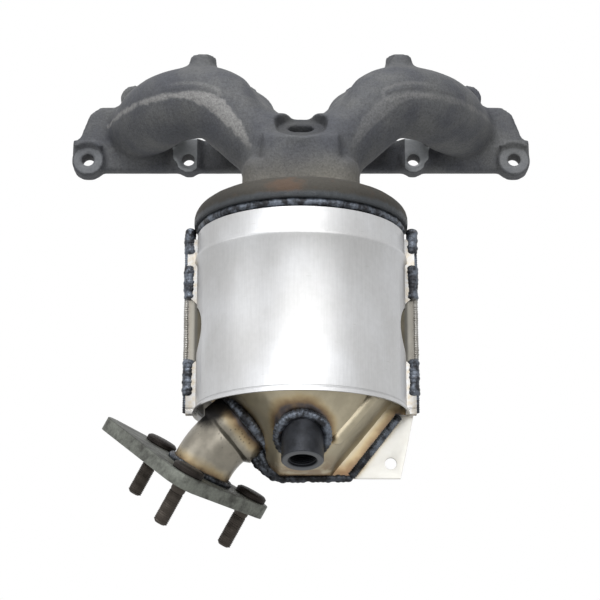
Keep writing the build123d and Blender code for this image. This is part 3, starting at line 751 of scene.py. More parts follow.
class Finishes:
    """All the finishes, each built once."""

    def __init__(self) -> None:
        """Builds every material."""
        self.by_slot: dict[Slot, bpy.types.Material] = {
            Slot.CASTING: CastIron().material(),
            Slot.WELD: WeldMetal().material(),
            Slot.SHELL: TintedShell().material(),
            Slot.CERAMIC: HoneycombCeramic().material(),
            Slot.MAT: FibreMat().material(),
            Slot.SHIELD: SatinSheet().material(),
            Slot.BUNG: DarkTurned(
                "dark_bung", rgb(47, 49, 54), rgb(98, 100, 103), BUNG_MOUTH, BUNG_AXIS
            ).material(),
            Slot.PIPE: SatinTube().material(),
            Slot.FLANGE: CutPlate().material(),
            Slot.STUD: DarkTurned(
                "phosphate_stud", rgb(45, 40, 37), rgb(80, 74, 68), FLANGE_CENTRE, FLANGE_AXIS, 0.9, 0.5
            ).material(),
            Slot.BRACKET: BracketSheet().material(),
        }

    def hand_over(self, piece: bpy.types.Object, slot: Slot, node: str) -> bpy.types.Object:
        """Gives a new piece the finish of its slot, and lets it stand for its node on the body.

        Args:
            piece: The piece.
            slot: Its slot.
            node: The node that it replaces.

        Returns:
            The piece.
        """
        piece.data.materials.clear()
        piece.data.materials.append(self.by_slot[slot])
        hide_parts(node)
        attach(piece, BODY)
        return piece


def link(data: bpy.types.ID, name: str) -> bpy.types.Object:
    """Puts a mesh, curve, light or camera into the scene as an object at the origin."""
    piece = bpy.data.objects.new(name, data)
    bpy.context.scene.collection.objects.link(piece)
    return piece


def settle(work: bmesh.types.BMesh, name: str) -> bpy.types.Object:
    """Turns a mesh that was worked on into an object of the scene."""
    mesh = bpy.data.meshes.new(name)
    work.to_mesh(mesh)
    work.free()
    return link(mesh, name)


def flatten(piece: bpy.types.Object) -> bpy.types.Object:
    """Turns a mesh or curve object with modifiers into an object with a plain mesh."""
    bpy.context.view_layer.update()
    evaluated = piece.evaluated_get(bpy.context.evaluated_depsgraph_get())
    mesh = bpy.data.meshes.new_from_object(evaluated)
    mesh.name = piece.name
    piece.modifiers.clear()
    if piece.type == "MESH":
        piece.data = mesh
        return piece
    name = piece.name
    bpy.data.objects.remove(piece)
    mesh.name = name
    return link(mesh, name)


def copy_of(node: str, name: str, flats: bool = False) -> bpy.types.Object:
    """Copies a CAD node's mesh with its loose triangles joined.

    Args:
        node: The node.
        name: The copy's name.
        flats: Whether triangles in one plane are made one face.

    Returns:
        The copy.
    """
    work = bmesh.new()
    work.from_mesh(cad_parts[node].data)
    bmesh.ops.remove_doubles(work, verts=work.verts, dist=0.004 * MM)
    if flats:
        bmesh.ops.dissolve_limit(work, angle_limit=math.radians(0.4), verts=work.verts, edges=work.edges)
    return settle(work, name)


def soften(piece: bpy.types.Object, angle: float | None = None) -> None:
    """Shades a piece smoothly, with edges above an angle in degrees kept sharp."""
    mesh = piece.data
    mesh.polygons.foreach_set("use_smooth", [True] * len(mesh.polygons))
    if angle is not None:
        mesh.set_sharp_from_angle(angle=math.radians(angle))


def melt(piece: bpy.types.Object, voxel: float) -> bpy.types.Modifier:
    """Adds a voxel remesh with a cell size in millimetres."""
    remesh = piece.modifiers.new("melt", "REMESH")
    remesh.mode = "VOXEL"
    remesh.voxel_size = voxel * MM
    return remesh


def ramp(values: np.ndarray, start: float, end: float) -> np.ndarray:
    """Rises smoothly from 0 at the start to 1 at the end."""
    share = np.clip((values - start) / (end - start), 0.0, 1.0)
    return share * share * (3.0 - 2.0 * share)


class Clay:
    """A mesh's points as arrays, so that all of them are smoothed and moved at once, in millimetres."""

    lift_share: float = 0.6
    pull: float = 0.5
    normals_last: int = 4
    waves: tuple = ((0.09, 0.7), (0.35, 0.3))

    def __init__(self, mesh: bpy.types.Mesh) -> None:
        """Reads the mesh, which has four-sided faces only."""
        self.mesh = mesh
        self.count = len(mesh.vertices)
        flat = np.empty(self.count * 3, dtype=np.float32)
        mesh.vertices.foreach_get("co", flat)
        self.points = flat.reshape(-1, 3).astype(float) / MM
        ends = np.empty(len(mesh.edges) * 2, dtype=np.int32)
        mesh.edges.foreach_get("vertices", ends)
        self.first, self.second = ends.reshape(-1, 2).T
        loops = np.empty(len(mesh.loops), dtype=np.int32)
        mesh.loops.foreach_get("vertex_index", loops)
        self.quads = loops.reshape(-1, 4)
        self.degree = self.gather(np.ones(self.count))

    def gather(self, values: np.ndarray) -> np.ndarray:
        """Adds up the values of each point's neighbours."""
        total = np.bincount(self.first, values[self.second], self.count)
        return total + np.bincount(self.second, values[self.first], self.count)

    def drift(self) -> np.ndarray:
        """Gives the way from each point to the middle of its neighbours."""
        middle = np.stack([self.gather(self.points[:, axis]) for axis in range(3)], axis=1)
        return middle / self.degree[:, None] - self.points

    def normals(self) -> np.ndarray:
        """Gives each point's outward unit normal."""
        corner = self.points[self.quads]
        facing = np.cross(corner[:, 2] - corner[:, 0], corner[:, 3] - corner[:, 1])
        total = np.zeros_like(self.points)
        for place in range(4):
            for axis in range(3):
                total[:, axis] += np.bincount(self.quads[:, place], facing[:, axis], self.count)
        return total / np.maximum(np.linalg.norm(total, axis=1), 1e-9)[:, None]

    def fill_hollows(self, freedom: np.ndarray, rounds: int) -> np.ndarray:
        """Rounds the inner corners by moving points outwards only.

        Args:
            freedom: How freely each point may move, from 0 to 1.
            rounds: How often.

        Returns:
            How far each point has moved.
        """
        moved = np.zeros(self.count)
        for step in range(rounds):
            if step % self.normals_last == 0:
                normals = self.normals()
            outward = np.maximum((self.drift() * normals).sum(axis=1), 0.0)
            lift = outward * self.lift_share * freedom
            self.points += normals * lift[:, None]
            moved += lift
        return moved

    def ease(
        self,
        freedom: np.ndarray,
        rounds: int,
        axes: tuple[float, float, float] = (1.0, 1.0, 1.0),
        back: float = 0.52,
    ) -> None:
        """Takes the steps out of the skin without shrinking it.

        Args:
            freedom: How freely each point may move, from 0 to 1.
            rounds: How often.
            axes: The share of each axis in the move.
            back: How much of each move is undone, 0 to smooth for good.
        """
        for _ in range(rounds):
            for pull in (self.pull, -back):
                self.points += self.drift() * (pull * freedom)[:, None] * axes

    def unevenness(self) -> np.ndarray:
        """Gives each point's part in the uneven surface of a casting, from -1 to 1."""
        places = [Vector(place) for place in self.points]
        lifts = [sum(noise.noise(place * size) * part for size, part in self.waves) for place in places]
        return np.array(lifts)

    def zone(self, edges: Sequence[tuple[int, float, float]]) -> np.ndarray:
        """Marks a zone with soft edges, the same on both sides of the middle.

        Args:
            edges: An axis for each edge, and the places on it where the mark is 0 and where it is 1.

        Returns:
            A weight from 0 to 1 for each point.
        """
        share = np.ones(self.count)
        for axis, start, end in edges:
            values = np.abs(self.points[:, 0]) if axis == 0 else self.points[:, axis]
            share = share * ramp(values, start, end)
        return share

    def reach(self, route: Sequence[tuple[Vector, float]]) -> np.ndarray:
        """Measures how far each point is outside a band along a route, mirrored to the right side.

        Args:
            route: (place, half width) pairs for the left side.

        Returns:
            The distance in millimetres, below 0 inside the band.
        """
        spots = self.points.copy()
        spots[:, 0] = -np.abs(spots[:, 0])
        nearest = np.full(self.count, 1e3)
        for (start, wide), (end, wide_end) in zip(route, route[1:]):
            line = np.array(end - start)
            share = np.clip((spots - np.array(start)) @ line / (line @ line), 0.0, 1.0)
            away = np.linalg.norm(spots - np.array(start) - share[:, None] * line, axis=1)
            nearest = np.minimum(nearest, away - wide - (wide_end - wide) * share)
        return nearest

    def note(self, name: str, values: np.ndarray) -> None:
        """Keeps a number for each point, for the finish to read."""
        kept = self.mesh.attributes.new(name, "FLOAT", "POINT")
        kept.data.foreach_set("value", values.astype(np.float32))

    def write(self) -> None:
        """Writes the points back to the mesh."""
        self.mesh.vertices.foreach_set("co", (self.points * MM).astype(np.float32).ravel())
        self.mesh.update()


@dataclass
class Casting:
    """The manifold casting with the round blends and the dressed parting line of a sand casting."""

    voxel: float = 1.72
    fillet_rounds: int = 34
    ease_rounds: int = 5
    rim_rounds: int = 14
    corner_rounds: int = 12
    swell: float = 0.2
    keep_face: float = 1.6
    face_fade: float = 2.0
    bolt_reach: float = 8.0
    bolt_fade: float = 3.0
    seat_reach: float = 17.0
    seat_levels: tuple = (-18.0, 2.5)
    lug_depth: float = 20.0
    flange_top: float = -8.0
    flange_fill: float = 0.3
    flange_ease: float = 0.5
    full_hollow_shade: float = 2.5
    ports: tuple = (42.0, 126.0)
    port_radius: float = 17.0
    port_rim: float = 1.8
    bolts: tuple = ((42.0, 26.0), (126.0, 26.0), (84.0, -25.5), (159.0, -25.5))
    bolt_radius: float = 4.75
    saddle_drop: float = 6.2
    saddle_edges: tuple = ((0, 8.0, 20.0), (0, 42.0, 27.0), (1, -32.0, -52.0), (2, -34.0, -12.0))
    corner_edges: tuple = (
        (0, 22.0, 27.0),
        (0, 50.0, 44.0),
        (1, -128.0, -122.0),
        (1, -40.0, -48.0),
        (2, -78.0, -71.0),
        (2, -50.0, -56.0),
    )
    plugs: tuple = ((33.0, -109.0, -63.5, 5.5), (28.5, -63.5, -64.0, 5.0))
    dressing: tuple = (
        (Vector((-145.0, -12.0, 1.5)), 1.2),
        (Vector((-140.3, -21.1, 2.7)), 1.5),
        (Vector((-134.2, -41.1, -1.0)), 1.8),
        (Vector((-125.1, -59.0, -2.6)), 2.0),
        (Vector((-109.9, -78.3, -3.7)), 2.2),
        (Vector((-94.8, -88.7, -4.4)), 2.3),
        (Vector((-80.9, -95.7, -6.4)), 2.8),
        (Vector((-75.0, -98.3, -7.9)), 3.6),
        (Vector((-66.3, -101.5, -12.2)), 5.2),
        (Vector((-57.7, -103.5, -18.6)), 5.6),
        (Vector((-49.8, -105.1, -27.5)), 5.2),
        (Vector((-42.7, -106.8, -37.9)), 4.0),
        (Vector((-37.0, -107.2, -47.7)), 2.6),
        (Vector((-33.9, -115.7, -62.7)), 1.2),
        (Vector((-34.5, -115.3, -78.0)), 0.8),
    )
    seam: tuple = (
        Vector((-109.0, -79.0, 0.2)),
        Vector((-97.1, -87.5, -0.1)),
        Vector((-89.9, -91.5, -0.6)),
        Vector((-83.9, -94.6, -1.1)),
        Vector((-77.1, -97.7, -2.2)),
        Vector((-68.6, -101.0, -5.0)),
        Vector((-62.0, -103.0, -8.5)),
    )

    def freedom(self, points: np.ndarray) -> np.ndarray:
        """Says how freely points may move: not at machined faces, bolt holes and the sensor's seat.

        Args:
            points: The points in millimetres.

        Returns:
            A weight from 0 to 1 for each.
        """
        across, depth, height = np.abs(points[:, 0]), points[:, 1], points[:, 2]
        free = np.clip((-depth - self.keep_face) / self.face_fade, 0.0, 1.0)
        for bolt_across, bolt_height in self.bolts:
            away = np.hypot(across - bolt_across, height - bolt_height)
            near = np.clip((away - self.bolt_reach) / self.bolt_fade, 0.0, 1.0)
            free = np.where(depth > -self.lug_depth, np.minimum(free, near), free)
        seat = points - np.array(SENSOR_SEAT)
        level = seat @ np.array(SENSOR_AXIS)
        aside = np.linalg.norm(seat - level[:, None] * np.array(SENSOR_AXIS), axis=1)
        low, high = self.seat_levels
        bored = (level < high) & (level > low) & (aside < self.seat_reach)
        return np.where(bored, 0.0, free)

    def plug(self, mesh: bpy.types.Mesh) -> None:
        """Closes the narrow openings that the solid has at the neck's four upper corners."""
        work = bmesh.new()
        work.from_mesh(mesh)
        for x, y, z, radius in self.plugs:
            for side in (-1.0, 1.0):
                place = Matrix.Translation(Vector((side * x, y, z)) * MM)
                bmesh.ops.create_icosphere(work, subdivisions=2, radius=radius * MM, matrix=place)
        work.to_mesh(mesh)
        work.free()

    def true_up(self, clay: Clay) -> None:
        """Makes the rims of the ports and bolt holes round again."""
        points = clay.points
        across, depth = np.abs(points[:, 0]), points[:, 1]
        side = np.sign(points[:, 0])
        rims = [(port, 0.0, self.port_radius, self.port_rim, 2.5) for port in self.ports]
        rims += [(bolt, height, self.bolt_radius, self.lug_depth, 1.1) for bolt, height in self.bolts]
        for middle, height, radius, reach, width in rims:
            aside, above = across - middle, points[:, 2] - height
            out = np.maximum(np.hypot(aside, above), 1e-6)
            share = ramp(np.abs(out - radius), width + 0.8, width) * ramp(depth, -reach, 0.8 - reach)
            pull = share * (radius / out - 1.0)
            points[:, 0] += side * aside * pull
            points[:, 2] += above * pull

    def shape(self, clay: Clay) -> np.ndarray:
        """Gives the remeshed skin its round blends, true rims, uneven surface and low saddle.

        Args:
            clay: The skin.

        Returns:
            How far each point was lifted out of a hollow, in millimetres.
        """
        free = self.freedom(clay.points)
        plate = clay.points[:, 1] > -self.lug_depth
        flange = plate & (clay.points[:, 2] < self.flange_top)
        filled = clay.fill_hollows(np.where(flange, self.flange_fill * free, free), self.fillet_rounds)
        clay.ease(np.where(flange, self.flange_ease * free, free), self.ease_rounds)
        plate = clay.points[:, 1] > -self.lug_depth
        clay.ease(np.where(plate, 1.0 - free, 0.0), self.rim_rounds, (1.0, 0.0, 1.0))
        clay.ease(clay.zone(self.corner_edges), self.corner_rounds, back=0.0)
        self.true_up(clay)
        clay.points += clay.normals() * (clay.unevenness() * self.swell * free)[:, None]
        clay.points[:, 2] -= self.saddle_drop * clay.zone(self.saddle_edges)
        return filled

    def build(self, finishes: Finishes) -> bpy.types.Object:
        """Builds the piece with its finish."""
        piece = copy_of("manifold_casting", "manifold_casting_skin")
        self.plug(piece.data)
        melt(piece, self.voxel)
        flatten(piece)
        clay = Clay(piece.data)
        filled = self.shape(clay)
        # keeps the lift out of the hollows as the strength of the painted shade there
        clay.note("shelter", np.clip(filled / self.full_hollow_shade, 0.0, 1.0))
        clay.note("dressing", clay.reach(self.dressing))
        clay.note("seam", clay.reach([(place, 0.0) for place in self.seam]))
        clay.write()
        soften(piece)
        return finishes.hand_over(piece, Slot.CASTING, "manifold_casting")


@dataclass
class SheetPiece:
    """A pressed or cut piece whose CAD shape is right, joined up and shaded smoothly."""

    node: str
    slot: Slot
    angle: float = 32.0
    bevel: float = 0.25
    bevel_angle: float = 48.0
    flats: bool = False

    def build(self, finishes: Finishes) -> bpy.types.Object:
        """Builds the piece with its finish."""
        piece = copy_of(self.node, f"{self.node}_skin", self.flats)
        if self.bevel:
            bevel = piece.modifiers.new("edges", "BEVEL")
            bevel.width = self.bevel * MM
            bevel.segments = 2
            bevel.limit_method = "ANGLE"
            bevel.angle_limit = math.radians(self.bevel_angle)
            flatten(piece)
        soften(piece, self.angle)
        return finishes.hand_over(piece, self.slot, self.node)


class ShapeTree(Graph):
    """A Geometry Nodes tree with named inputs, run on an object and kept as a plain mesh."""

    def __init__(self, name: str, kinds: dict[str, str]) -> None:
        """Makes the tree and its inputs, each with its kind of socket."""
        super().__init__(bpy.data.node_groups.new(name, "GeometryNodeTree"))
        face = self.tree.interface
        self.inputs = {
            label: face.new_socket(label, in_out="INPUT", socket_type=f"NodeSocket{kind}")
            for label, kind in kinds.items()
        }
        face.new_socket("Shape", in_out="OUTPUT", socket_type="NodeSocketGeometry")
        self.given = self.add("NodeGroupInput").outputs

    def end(self, shape: bpy.types.Node) -> None:
        """Gives the shape its metal and makes it the tree's output."""
        solid = self.add("GeometryNodeRealizeInstances", None, {0: shape.outputs[0]})
        sockets = {0: solid.outputs[0], "Material": self.given["Metal"]}
        metal = self.add("GeometryNodeSetMaterial", None, sockets)
        self.add("NodeGroupOutput", None, {0: metal.outputs[0]})

    def run(self, piece: bpy.types.Object, values: dict[str, Any]) -> bpy.types.Object:
        """Runs the tree.

        Args:
            piece: The object to run it on.
            values: Input values by name.

        Returns:
            The result as a plain mesh object.
        """
        modifier = piece.modifiers.new("shape", "NODES")
        modifier.node_group = self.tree
        for label, value in values.items():
            modifier[self.inputs[label].identifier] = value
        return flatten(piece)


class BeadTree(ShapeTree):
    """The node tree that lays overlapping dimes of weld metal along a curve."""

    def __init__(self) -> None:
        """Builds the tree once for every bead."""
        measures = dict.fromkeys(("Pitch", "Width", "Height", "Length", "Uneven"), "Float")
        super().__init__("weld_bead", {"Route": "Geometry", **measures, "Seed": "Int", "Metal": "Material"})
        sockets = {"Curve": self.given["Route"], "Length": self.given["Pitch"]}
        places = self.add("GeometryNodeResampleCurve", {"mode": "LENGTH"}, sockets)
        dime = self.add("GeometryNodeMeshUVSphere", None, {"Segments": 12, "Rings": 7, "Radius": 1.0})
        tangent = self.add("GeometryNodeInputTangent")
        turn = self.add("FunctionNodeAlignRotationToVector", {"axis": "Z"}, {"Vector": tangent.outputs[0]})
        sockets = {"Min_001": 0.0, "Max_001": 1.0, "Seed": self.given["Seed"]}
        chance = self.add("FunctionNodeRandomValue", {"data_type": "FLOAT"}, sockets)
        share = 1.0 - Term(self, self.given["Uneven"]) * Term(self, chance.outputs[1])
        width, height, length = (Term(self, self.given[label]) for label in ("Width", "Height", "Length"))
        size = self.add("ShaderNodeCombineXYZ", None, {0: width * share, 1: height * share, 2: length})
        sockets = {
            "Points": places.outputs[0],
            "Instance": dime.outputs[0],
            "Rotation": turn.outputs[0],
            "Scale": size.outputs[0],
        }
        self.end(self.add("GeometryNodeInstanceOnPoints", None, sockets))


def ring(centre: Vector, axis: Vector, radius: float, count: int = 96) -> list[Vector]:
    """Places points on a circle.

    Args:
        centre: Its centre.
        axis: Its axis.
        radius: Its radius.
        count: How many points.

    Returns:
        The points, without the first repeated.
    """
    turn = UP.rotation_difference(axis)
    points = []
    for step in range(count):
        angle = math.tau * step / count
        spoke = Vector((math.cos(angle), math.sin(angle), 0.0)) * radius
        points.append(centre + turn @ spoke)
    return points


@dataclass
class WeldBead:
    """One weld as a row of dimes melted into each other."""

    node: str
    route: Sequence[Sequence[Vector]]
    width: float
    height: float
    pitch: float = 1.8
    thick: float = 1.9
    uneven: float = 0.14
    closed: bool = False
    wander: float = 0.25
    wander_scale: float = 0.12
    voxel: float = 0.5
    flow: int = 2
    softness: float = 0.4

    def curve(self, name: str) -> bpy.types.Object:
        """Draws the route, with a welder's small wander."""
        data = bpy.data.curves.new(name, "CURVE")
        data.dimensions = "3D"
        for points in self.route:
            spline = data.splines.new("POLY")
            spline.points.add(len(points) - 1)
            spline.use_cyclic_u = self.closed
            for target, place in zip(spline.points, points):
                sway = noise.noise_vector(place * self.wander_scale) * self.wander
                target.co = ((place + sway) * MM).to_4d()
        return link(data, name)

    def build(self, finishes: Finishes, tree: BeadTree, seed: int) -> bpy.types.Object:
        """Builds the bead.

        Args:
            finishes: The finishes.
            tree: The bead's node tree.
            seed: The seed of its unevenness.

        Returns:
            The piece.
        """
        piece = tree.run(
            self.curve(f"{self.node}_bead"),
            {
                "Pitch": self.pitch * MM,
                "Width": self.width * MM,
                "Height": self.height * MM,
                "Length": self.thick * MM,
                "Uneven": self.uneven,
                "Seed": seed,
                "Metal": finishes.by_slot[Slot.WELD],
            },
        )
        melt(piece, self.voxel)
        smooth = piece.modifiers.new("flow", "SMOOTH")
        smooth.factor = self.softness
        smooth.iterations = self.flow
        flatten(piece)
        soften(piece)
        return finishes.hand_over(piece, Slot.WELD, self.node)


@dataclass
class Welds:
    """All the welds of the object."""

    finishes: Finishes
    seam_ends: tuple = (-235.0, -114.0)
    tack_x: float = 77.2
    tacks: tuple = ((-114.0, 9.0), (-143.5, 12.0), (-211.5, 12.5))
    bung_lean: float = math.radians(42.0)

    def upright(self, x: float, low: float, high: float, step: float = 4.0) -> list[Vector]:
        """Places points up a line of the seam plane.

        Args:
            x: The line's place across.
            low: Its lower end.
            high: Its upper end.
            step: The spacing.

        Returns:
            The points.
        """
        count = max(2, int((high - low) / step) + 1)
        return in_seam([(x, low + (high - low) * index / (count - 1)) for index in range(count)])

    def sides(self) -> Iterable[WeldBead]:
        """Lists the fine beads along both seam lips and the heavy tacks over the shields' tabs."""
        for side, label in ((-1.0, "left"), (1.0, "right")):
            edge = self.upright(side * (SEAM_HALF_WIDTH + 0.2), *self.seam_ends)
            yield WeldBead(
                f"{label}_seam_weld", [edge], 2.2, 2.4, pitch=1.6, thick=1.0, uneven=0.08, voxel=0.4, flow=1
            )
            tacks = [
                self.upright(side * self.tack_x, middle - half + 1.8, middle + half - 1.8)
                for middle, half in self.tacks
            ]
            yield WeldBead(
                f"{label}_tack_welds", tacks, 4.7, 5.3, pitch=2.4, thick=3.0, uneven=0.17, wander=0.6, flow=4
            )

    def beads(self) -> Iterable[WeldBead]:
        """Lists every bead, with its width and height in millimetres after its route."""
        collar = ring(CAN_MIDDLE + (COLLAR_BOTTOM - 2.2) * UP, UP, CAN_RADIUS + 3.2, 160)
        yield WeldBead(
            "collar_weld", [collar], 3.7, 3.7, pitch=3.0, thick=3.4, closed=True, voxel=0.65, flow=4
        )
        yield from self.sides()
        diagonal = in_seam(DIAGONAL_SEAM, -0.5)
        yield WeldBead(
            "diagonal_seam_weld", [diagonal], 3.2, 3.2, pitch=1.7, thick=1.1, uneven=0.08, voxel=0.4, flow=1
        )
        bottom = [in_seam(BOTTOM_SEAM), in_seam(ROOT_GAP, -1.5)]
        yield WeldBead(
            "bottom_seam_weld", bottom, 3.5, 3.5, pitch=3.4, thick=3.3, uneven=0.34, wander=1.2, flow=5
        )
        yield WeldBead("bracket_weld", [in_seam(BRACKET_SEAM, 1.5)], 2.1, 2.1, pitch=2.0, thick=1.8)
        root = ring(STUB_CENTRE - 2.8 * STUB_AXIS, STUB_AXIS, STUB_RADIUS + 1.7)
        yield WeldBead("pipe_root_weld", [root], 3.9, 3.9, pitch=2.4, thick=2.6, closed=True, flow=6)
        plate = ring(FLANGE_CENTRE - (FLANGE_THICK + 1.4) * FLANGE_AXIS, FLANGE_AXIS, PIPE_RADIUS + 1.4)
        yield WeldBead("flange_weld", [plate], 2.5, 2.5, pitch=2.2, thick=2.0, closed=True)
        lean = Vector((0.0, -math.cos(self.bung_lean), -math.sin(self.bung_lean)))
        bung = ring(BUNG_MOUTH - 19.6 * BUNG_AXIS + 1.0 * lean, lean, 16.4)
        yield WeldBead("bung_weld", [bung], 3.9, 3.9, pitch=2.6, thick=2.4, closed=True)

    def build(self) -> None:
        """Builds every bead, with a fixed seed for the wander of their routes."""
        noise.seed_set(WANDER_SEED)
        tree = BeadTree()
        for seed, bead in enumerate(self.beads()):
            piece = bead.build(self.finishes, tree, seed)
            logger.info("%s: %d faces", piece.name, len(piece.data.polygons))


class ThreadTree(ShapeTree):
    """The node tree that winds a thread ridge round an axis."""

    def __init__(self) -> None:
        """Builds the tree once for every thread."""
        measures = dict.fromkeys(("Radius", "Turns", "Height", "Ridge"), "Float")
        super().__init__("thread_ridge", {**measures, "Metal": "Material"})
        sockets = {
            "Resolution": 28,
            "Rotations": self.given["Turns"],
            "Start Radius": self.given["Radius"],
            "End Radius": self.given["Radius"],
            "Height": self.given["Height"],
        }
        helix = self.add("GeometryNodeCurveSpiral", None, sockets)
        sockets = {"Resolution": 4, "Radius": self.given["Ridge"]}
        ridge = self.add("GeometryNodeCurvePrimitiveCircle", {"mode": "RADIUS"}, sockets)
        sockets = {"Curve": helix.outputs[0], "Profile Curve": ridge.outputs[0], "Fill Caps": True}
        self.end(self.add("GeometryNodeCurveToMesh", None, sockets))

    def wind(
        self, name: str, radius: float, length: float, pitch: float, metal: bpy.types.Material
    ) -> bpy.types.Object:
        """Winds one thread about Z, from the origin up.

        Args:
            name: The object's name.
            radius: The helix's radius in millimetres.
            length: Its length.
            pitch: Its rise for each turn.
            metal: Its finish.

        Returns:
            The thread as a plain mesh object.
        """
        values = {
            "Radius": radius * MM,
            "Turns": length / pitch,
            "Height": length * MM,
            "Ridge": THREAD_RIDGE * MM,
            "Metal": metal,
        }
        return self.run(link(bpy.data.meshes.new(name), name), values)


def turned(profile: Sequence[tuple[float, float]], segments: int = 48) -> bmesh.types.BMesh:
    """Turns a profile about Z.

    Args:
        profile: (radius, height) pairs in millimetres; a radius of 0 closes the end.
        segments: Steps round the axis.

    Returns:
        The turned mesh.
    """
    work = bmesh.new()
    rows = []
    for radius, height in profile:
        if radius == 0:
            rows.append([work.verts.new((0.0, 0.0, height * MM))])
            continue
        row = []
        for step in range(segments):
            angle = math.tau * step / segments
            spot = (radius * math.cos(angle) * MM, radius * math.sin(angle) * MM, height * MM)
            row.append(work.verts.new(spot))
        rows.append(row)
    for first, second in zip(rows, rows[1:]):
        for step in range(segments):
            after = (step + 1) % segments
            corners = [first[step % len(first)], first[after % len(first)]]
            corners += [second[after % len(second)], second[step % len(second)]]
            unique = list(dict.fromkeys(corners))
            if len(unique) > 2:
                work.faces.new(unique)
    bmesh.ops.recalc_face_normals(work, faces=work.faces)
    return work


def threaded(
    work: bmesh.types.BMesh, ridge: bpy.types.Object, lift: float, place: Matrix, name: str
) -> bpy.types.Object:
    """Joins a turned body with its thread and puts both in place.

    Args:
        work: The turned body.
        ridge: The thread, which is used up.
        lift: How far up the axis the thread starts, in millimetres.
        place: The way from the axis Z to the place on the object.
        name: The piece's name.

    Returns:
        The piece.
    """
    ridge.data.transform(Matrix.Translation(lift * MM * UP))
    work.from_mesh(ridge.data)
    bpy.data.objects.remove(ridge)
    bmesh.ops.transform(work, matrix=place, verts=work.verts)
    piece = settle(work, name)
    soften(piece, TURNED_CREASE)
    return piece


@dataclass
class OutletStuds:
    """The three studs pressed through the outlet flange, with their rolled threads."""

    finishes: Finishes
    radius: float = 5.0
    shank_radius: float = 5.6
    protrusion: float = 28.5
    head_radius: float = 11.0
    head_height: float = 4.5
    circle: float = 41.5
    pitch: float = 1.25
    thread_length: float = 24.0
    root_depth: float = 0.45
    tip_chamfer: float = 1.2
    run_out: float = 2.0
    ridge_depth: float = 0.42
    inset: float = 0.1
    zero_angle: Vector = Vector((0.871, 0.135, -0.473))
    places: tuple = ((141.2, "left"), (-98.8, "front"), (21.2, "right"))

    def profile(self) -> tuple[tuple[float, float], ...]:
        """Draws the stud's half section, from its tip to its flat head."""
        root = self.radius - self.root_depth
        shoulder = self.protrusion - self.inset
        seat = self.protrusion + FLANGE_THICK
        return (
            (0.0, 0.0),
            (root - self.tip_chamfer, 0.0),
            (root, self.tip_chamfer),
            (root, self.thread_length),
            (self.radius, self.thread_length + 1.0),
            (self.radius, shoulder),
            (self.shank_radius, shoulder),
            (self.shank_radius, seat - self.inset),
            (self.head_radius - 0.5, seat - self.inset),
            (self.head_radius, seat + 0.5),
            (self.head_radius, seat + self.head_height - 1.3),
            (self.head_radius - 1.6, seat + self.head_height - 0.1),
            (0.0, seat + self.head_height),
        )

    def build(self, threads: ThreadTree) -> None:
        """Builds the three studs, whose threads the given tree winds."""
        up = -FLANGE_AXIS
        across = (self.zero_angle - self.zero_angle.dot(up) * up).normalized()
        side = up.cross(across)
        length = self.thread_length - self.run_out
        metal = self.finishes.by_slot[Slot.STUD]
        for angle, label in self.places:
            turn = math.radians(angle)
            foot = FLANGE_CENTRE + self.circle * (math.cos(turn) * across + math.sin(turn) * side)
            tip = foot - up * self.protrusion
            work = turned(self.profile())
            thread = threads.wind(f"{label}_ridge", self.radius - self.ridge_depth, length, self.pitch, metal)
            place = Matrix.Translation(tip * MM) @ Matrix((across, side, up)).transposed().to_4x4()
            piece = threaded(work, thread, self.tip_chamfer, place, f"{label}_outlet_stud_threaded")
            self.finishes.hand_over(piece, Slot.STUD, f"{label}_outlet_stud")


@dataclass
class SensorBung:
    """The turned bung with its inner thread."""

    finishes: Finishes
    length: float = 27.0
    bore: float = 9.35
    chamfer: float = 0.9
    pitch: float = 1.5
    ridge_depth: float = 0.1

    def build(self, threads: ThreadTree) -> bpy.types.Object:
        """Builds the bung, whose thread the given tree winds."""
        mouth = (self.bore + self.chamfer, 0.0)
        profile = (
            mouth,
            (BUNG_RADIUS - self.chamfer, 0.0),
            (BUNG_RADIUS, self.chamfer),
            (BUNG_RADIUS, self.length),
            (self.bore, self.length),
            (self.bore, self.chamfer),
            mouth,
        )
        work = turned(profile, 72)
        bmesh.ops.remove_doubles(work, verts=work.verts, dist=0.001 * MM)
        bmesh.ops.recalc_face_normals(work, faces=work.faces)
        length = self.length - 2.0 * self.pitch
        metal = self.finishes.by_slot[Slot.BUNG]
        thread = threads.wind("bung_ridge", self.bore - self.ridge_depth, length, self.pitch, metal)
        turn = UP.rotation_difference(-BUNG_AXIS).to_matrix().to_4x4()
        place = Matrix.Translation(BUNG_MOUTH * MM) @ turn
        piece = threaded(work, thread, self.pitch, place, "sensor_bung_threaded")
        return self.finishes.hand_over(piece, Slot.BUNG, "sensor_bung")


@dataclass(frozen=True)
class Lamp:
    """A soft area lamp aimed at the object."""

    name: str
    place: Vector
    size: float
    power: float
    aim: Vector = Vector((0.0, -0.09, -0.15))

    def build(self) -> None:
        """Hangs the lamp."""
        data = bpy.data.lights.new(self.name, "AREA")
        data.shape = "SQUARE"
        data.size = self.size
        data.energy = self.power
        lamp = link(data, self.name)
        lamp.location = self.place
        lamp.rotation_euler = (self.aim - self.place).to_track_quat("-Z", "Y").to_euler()


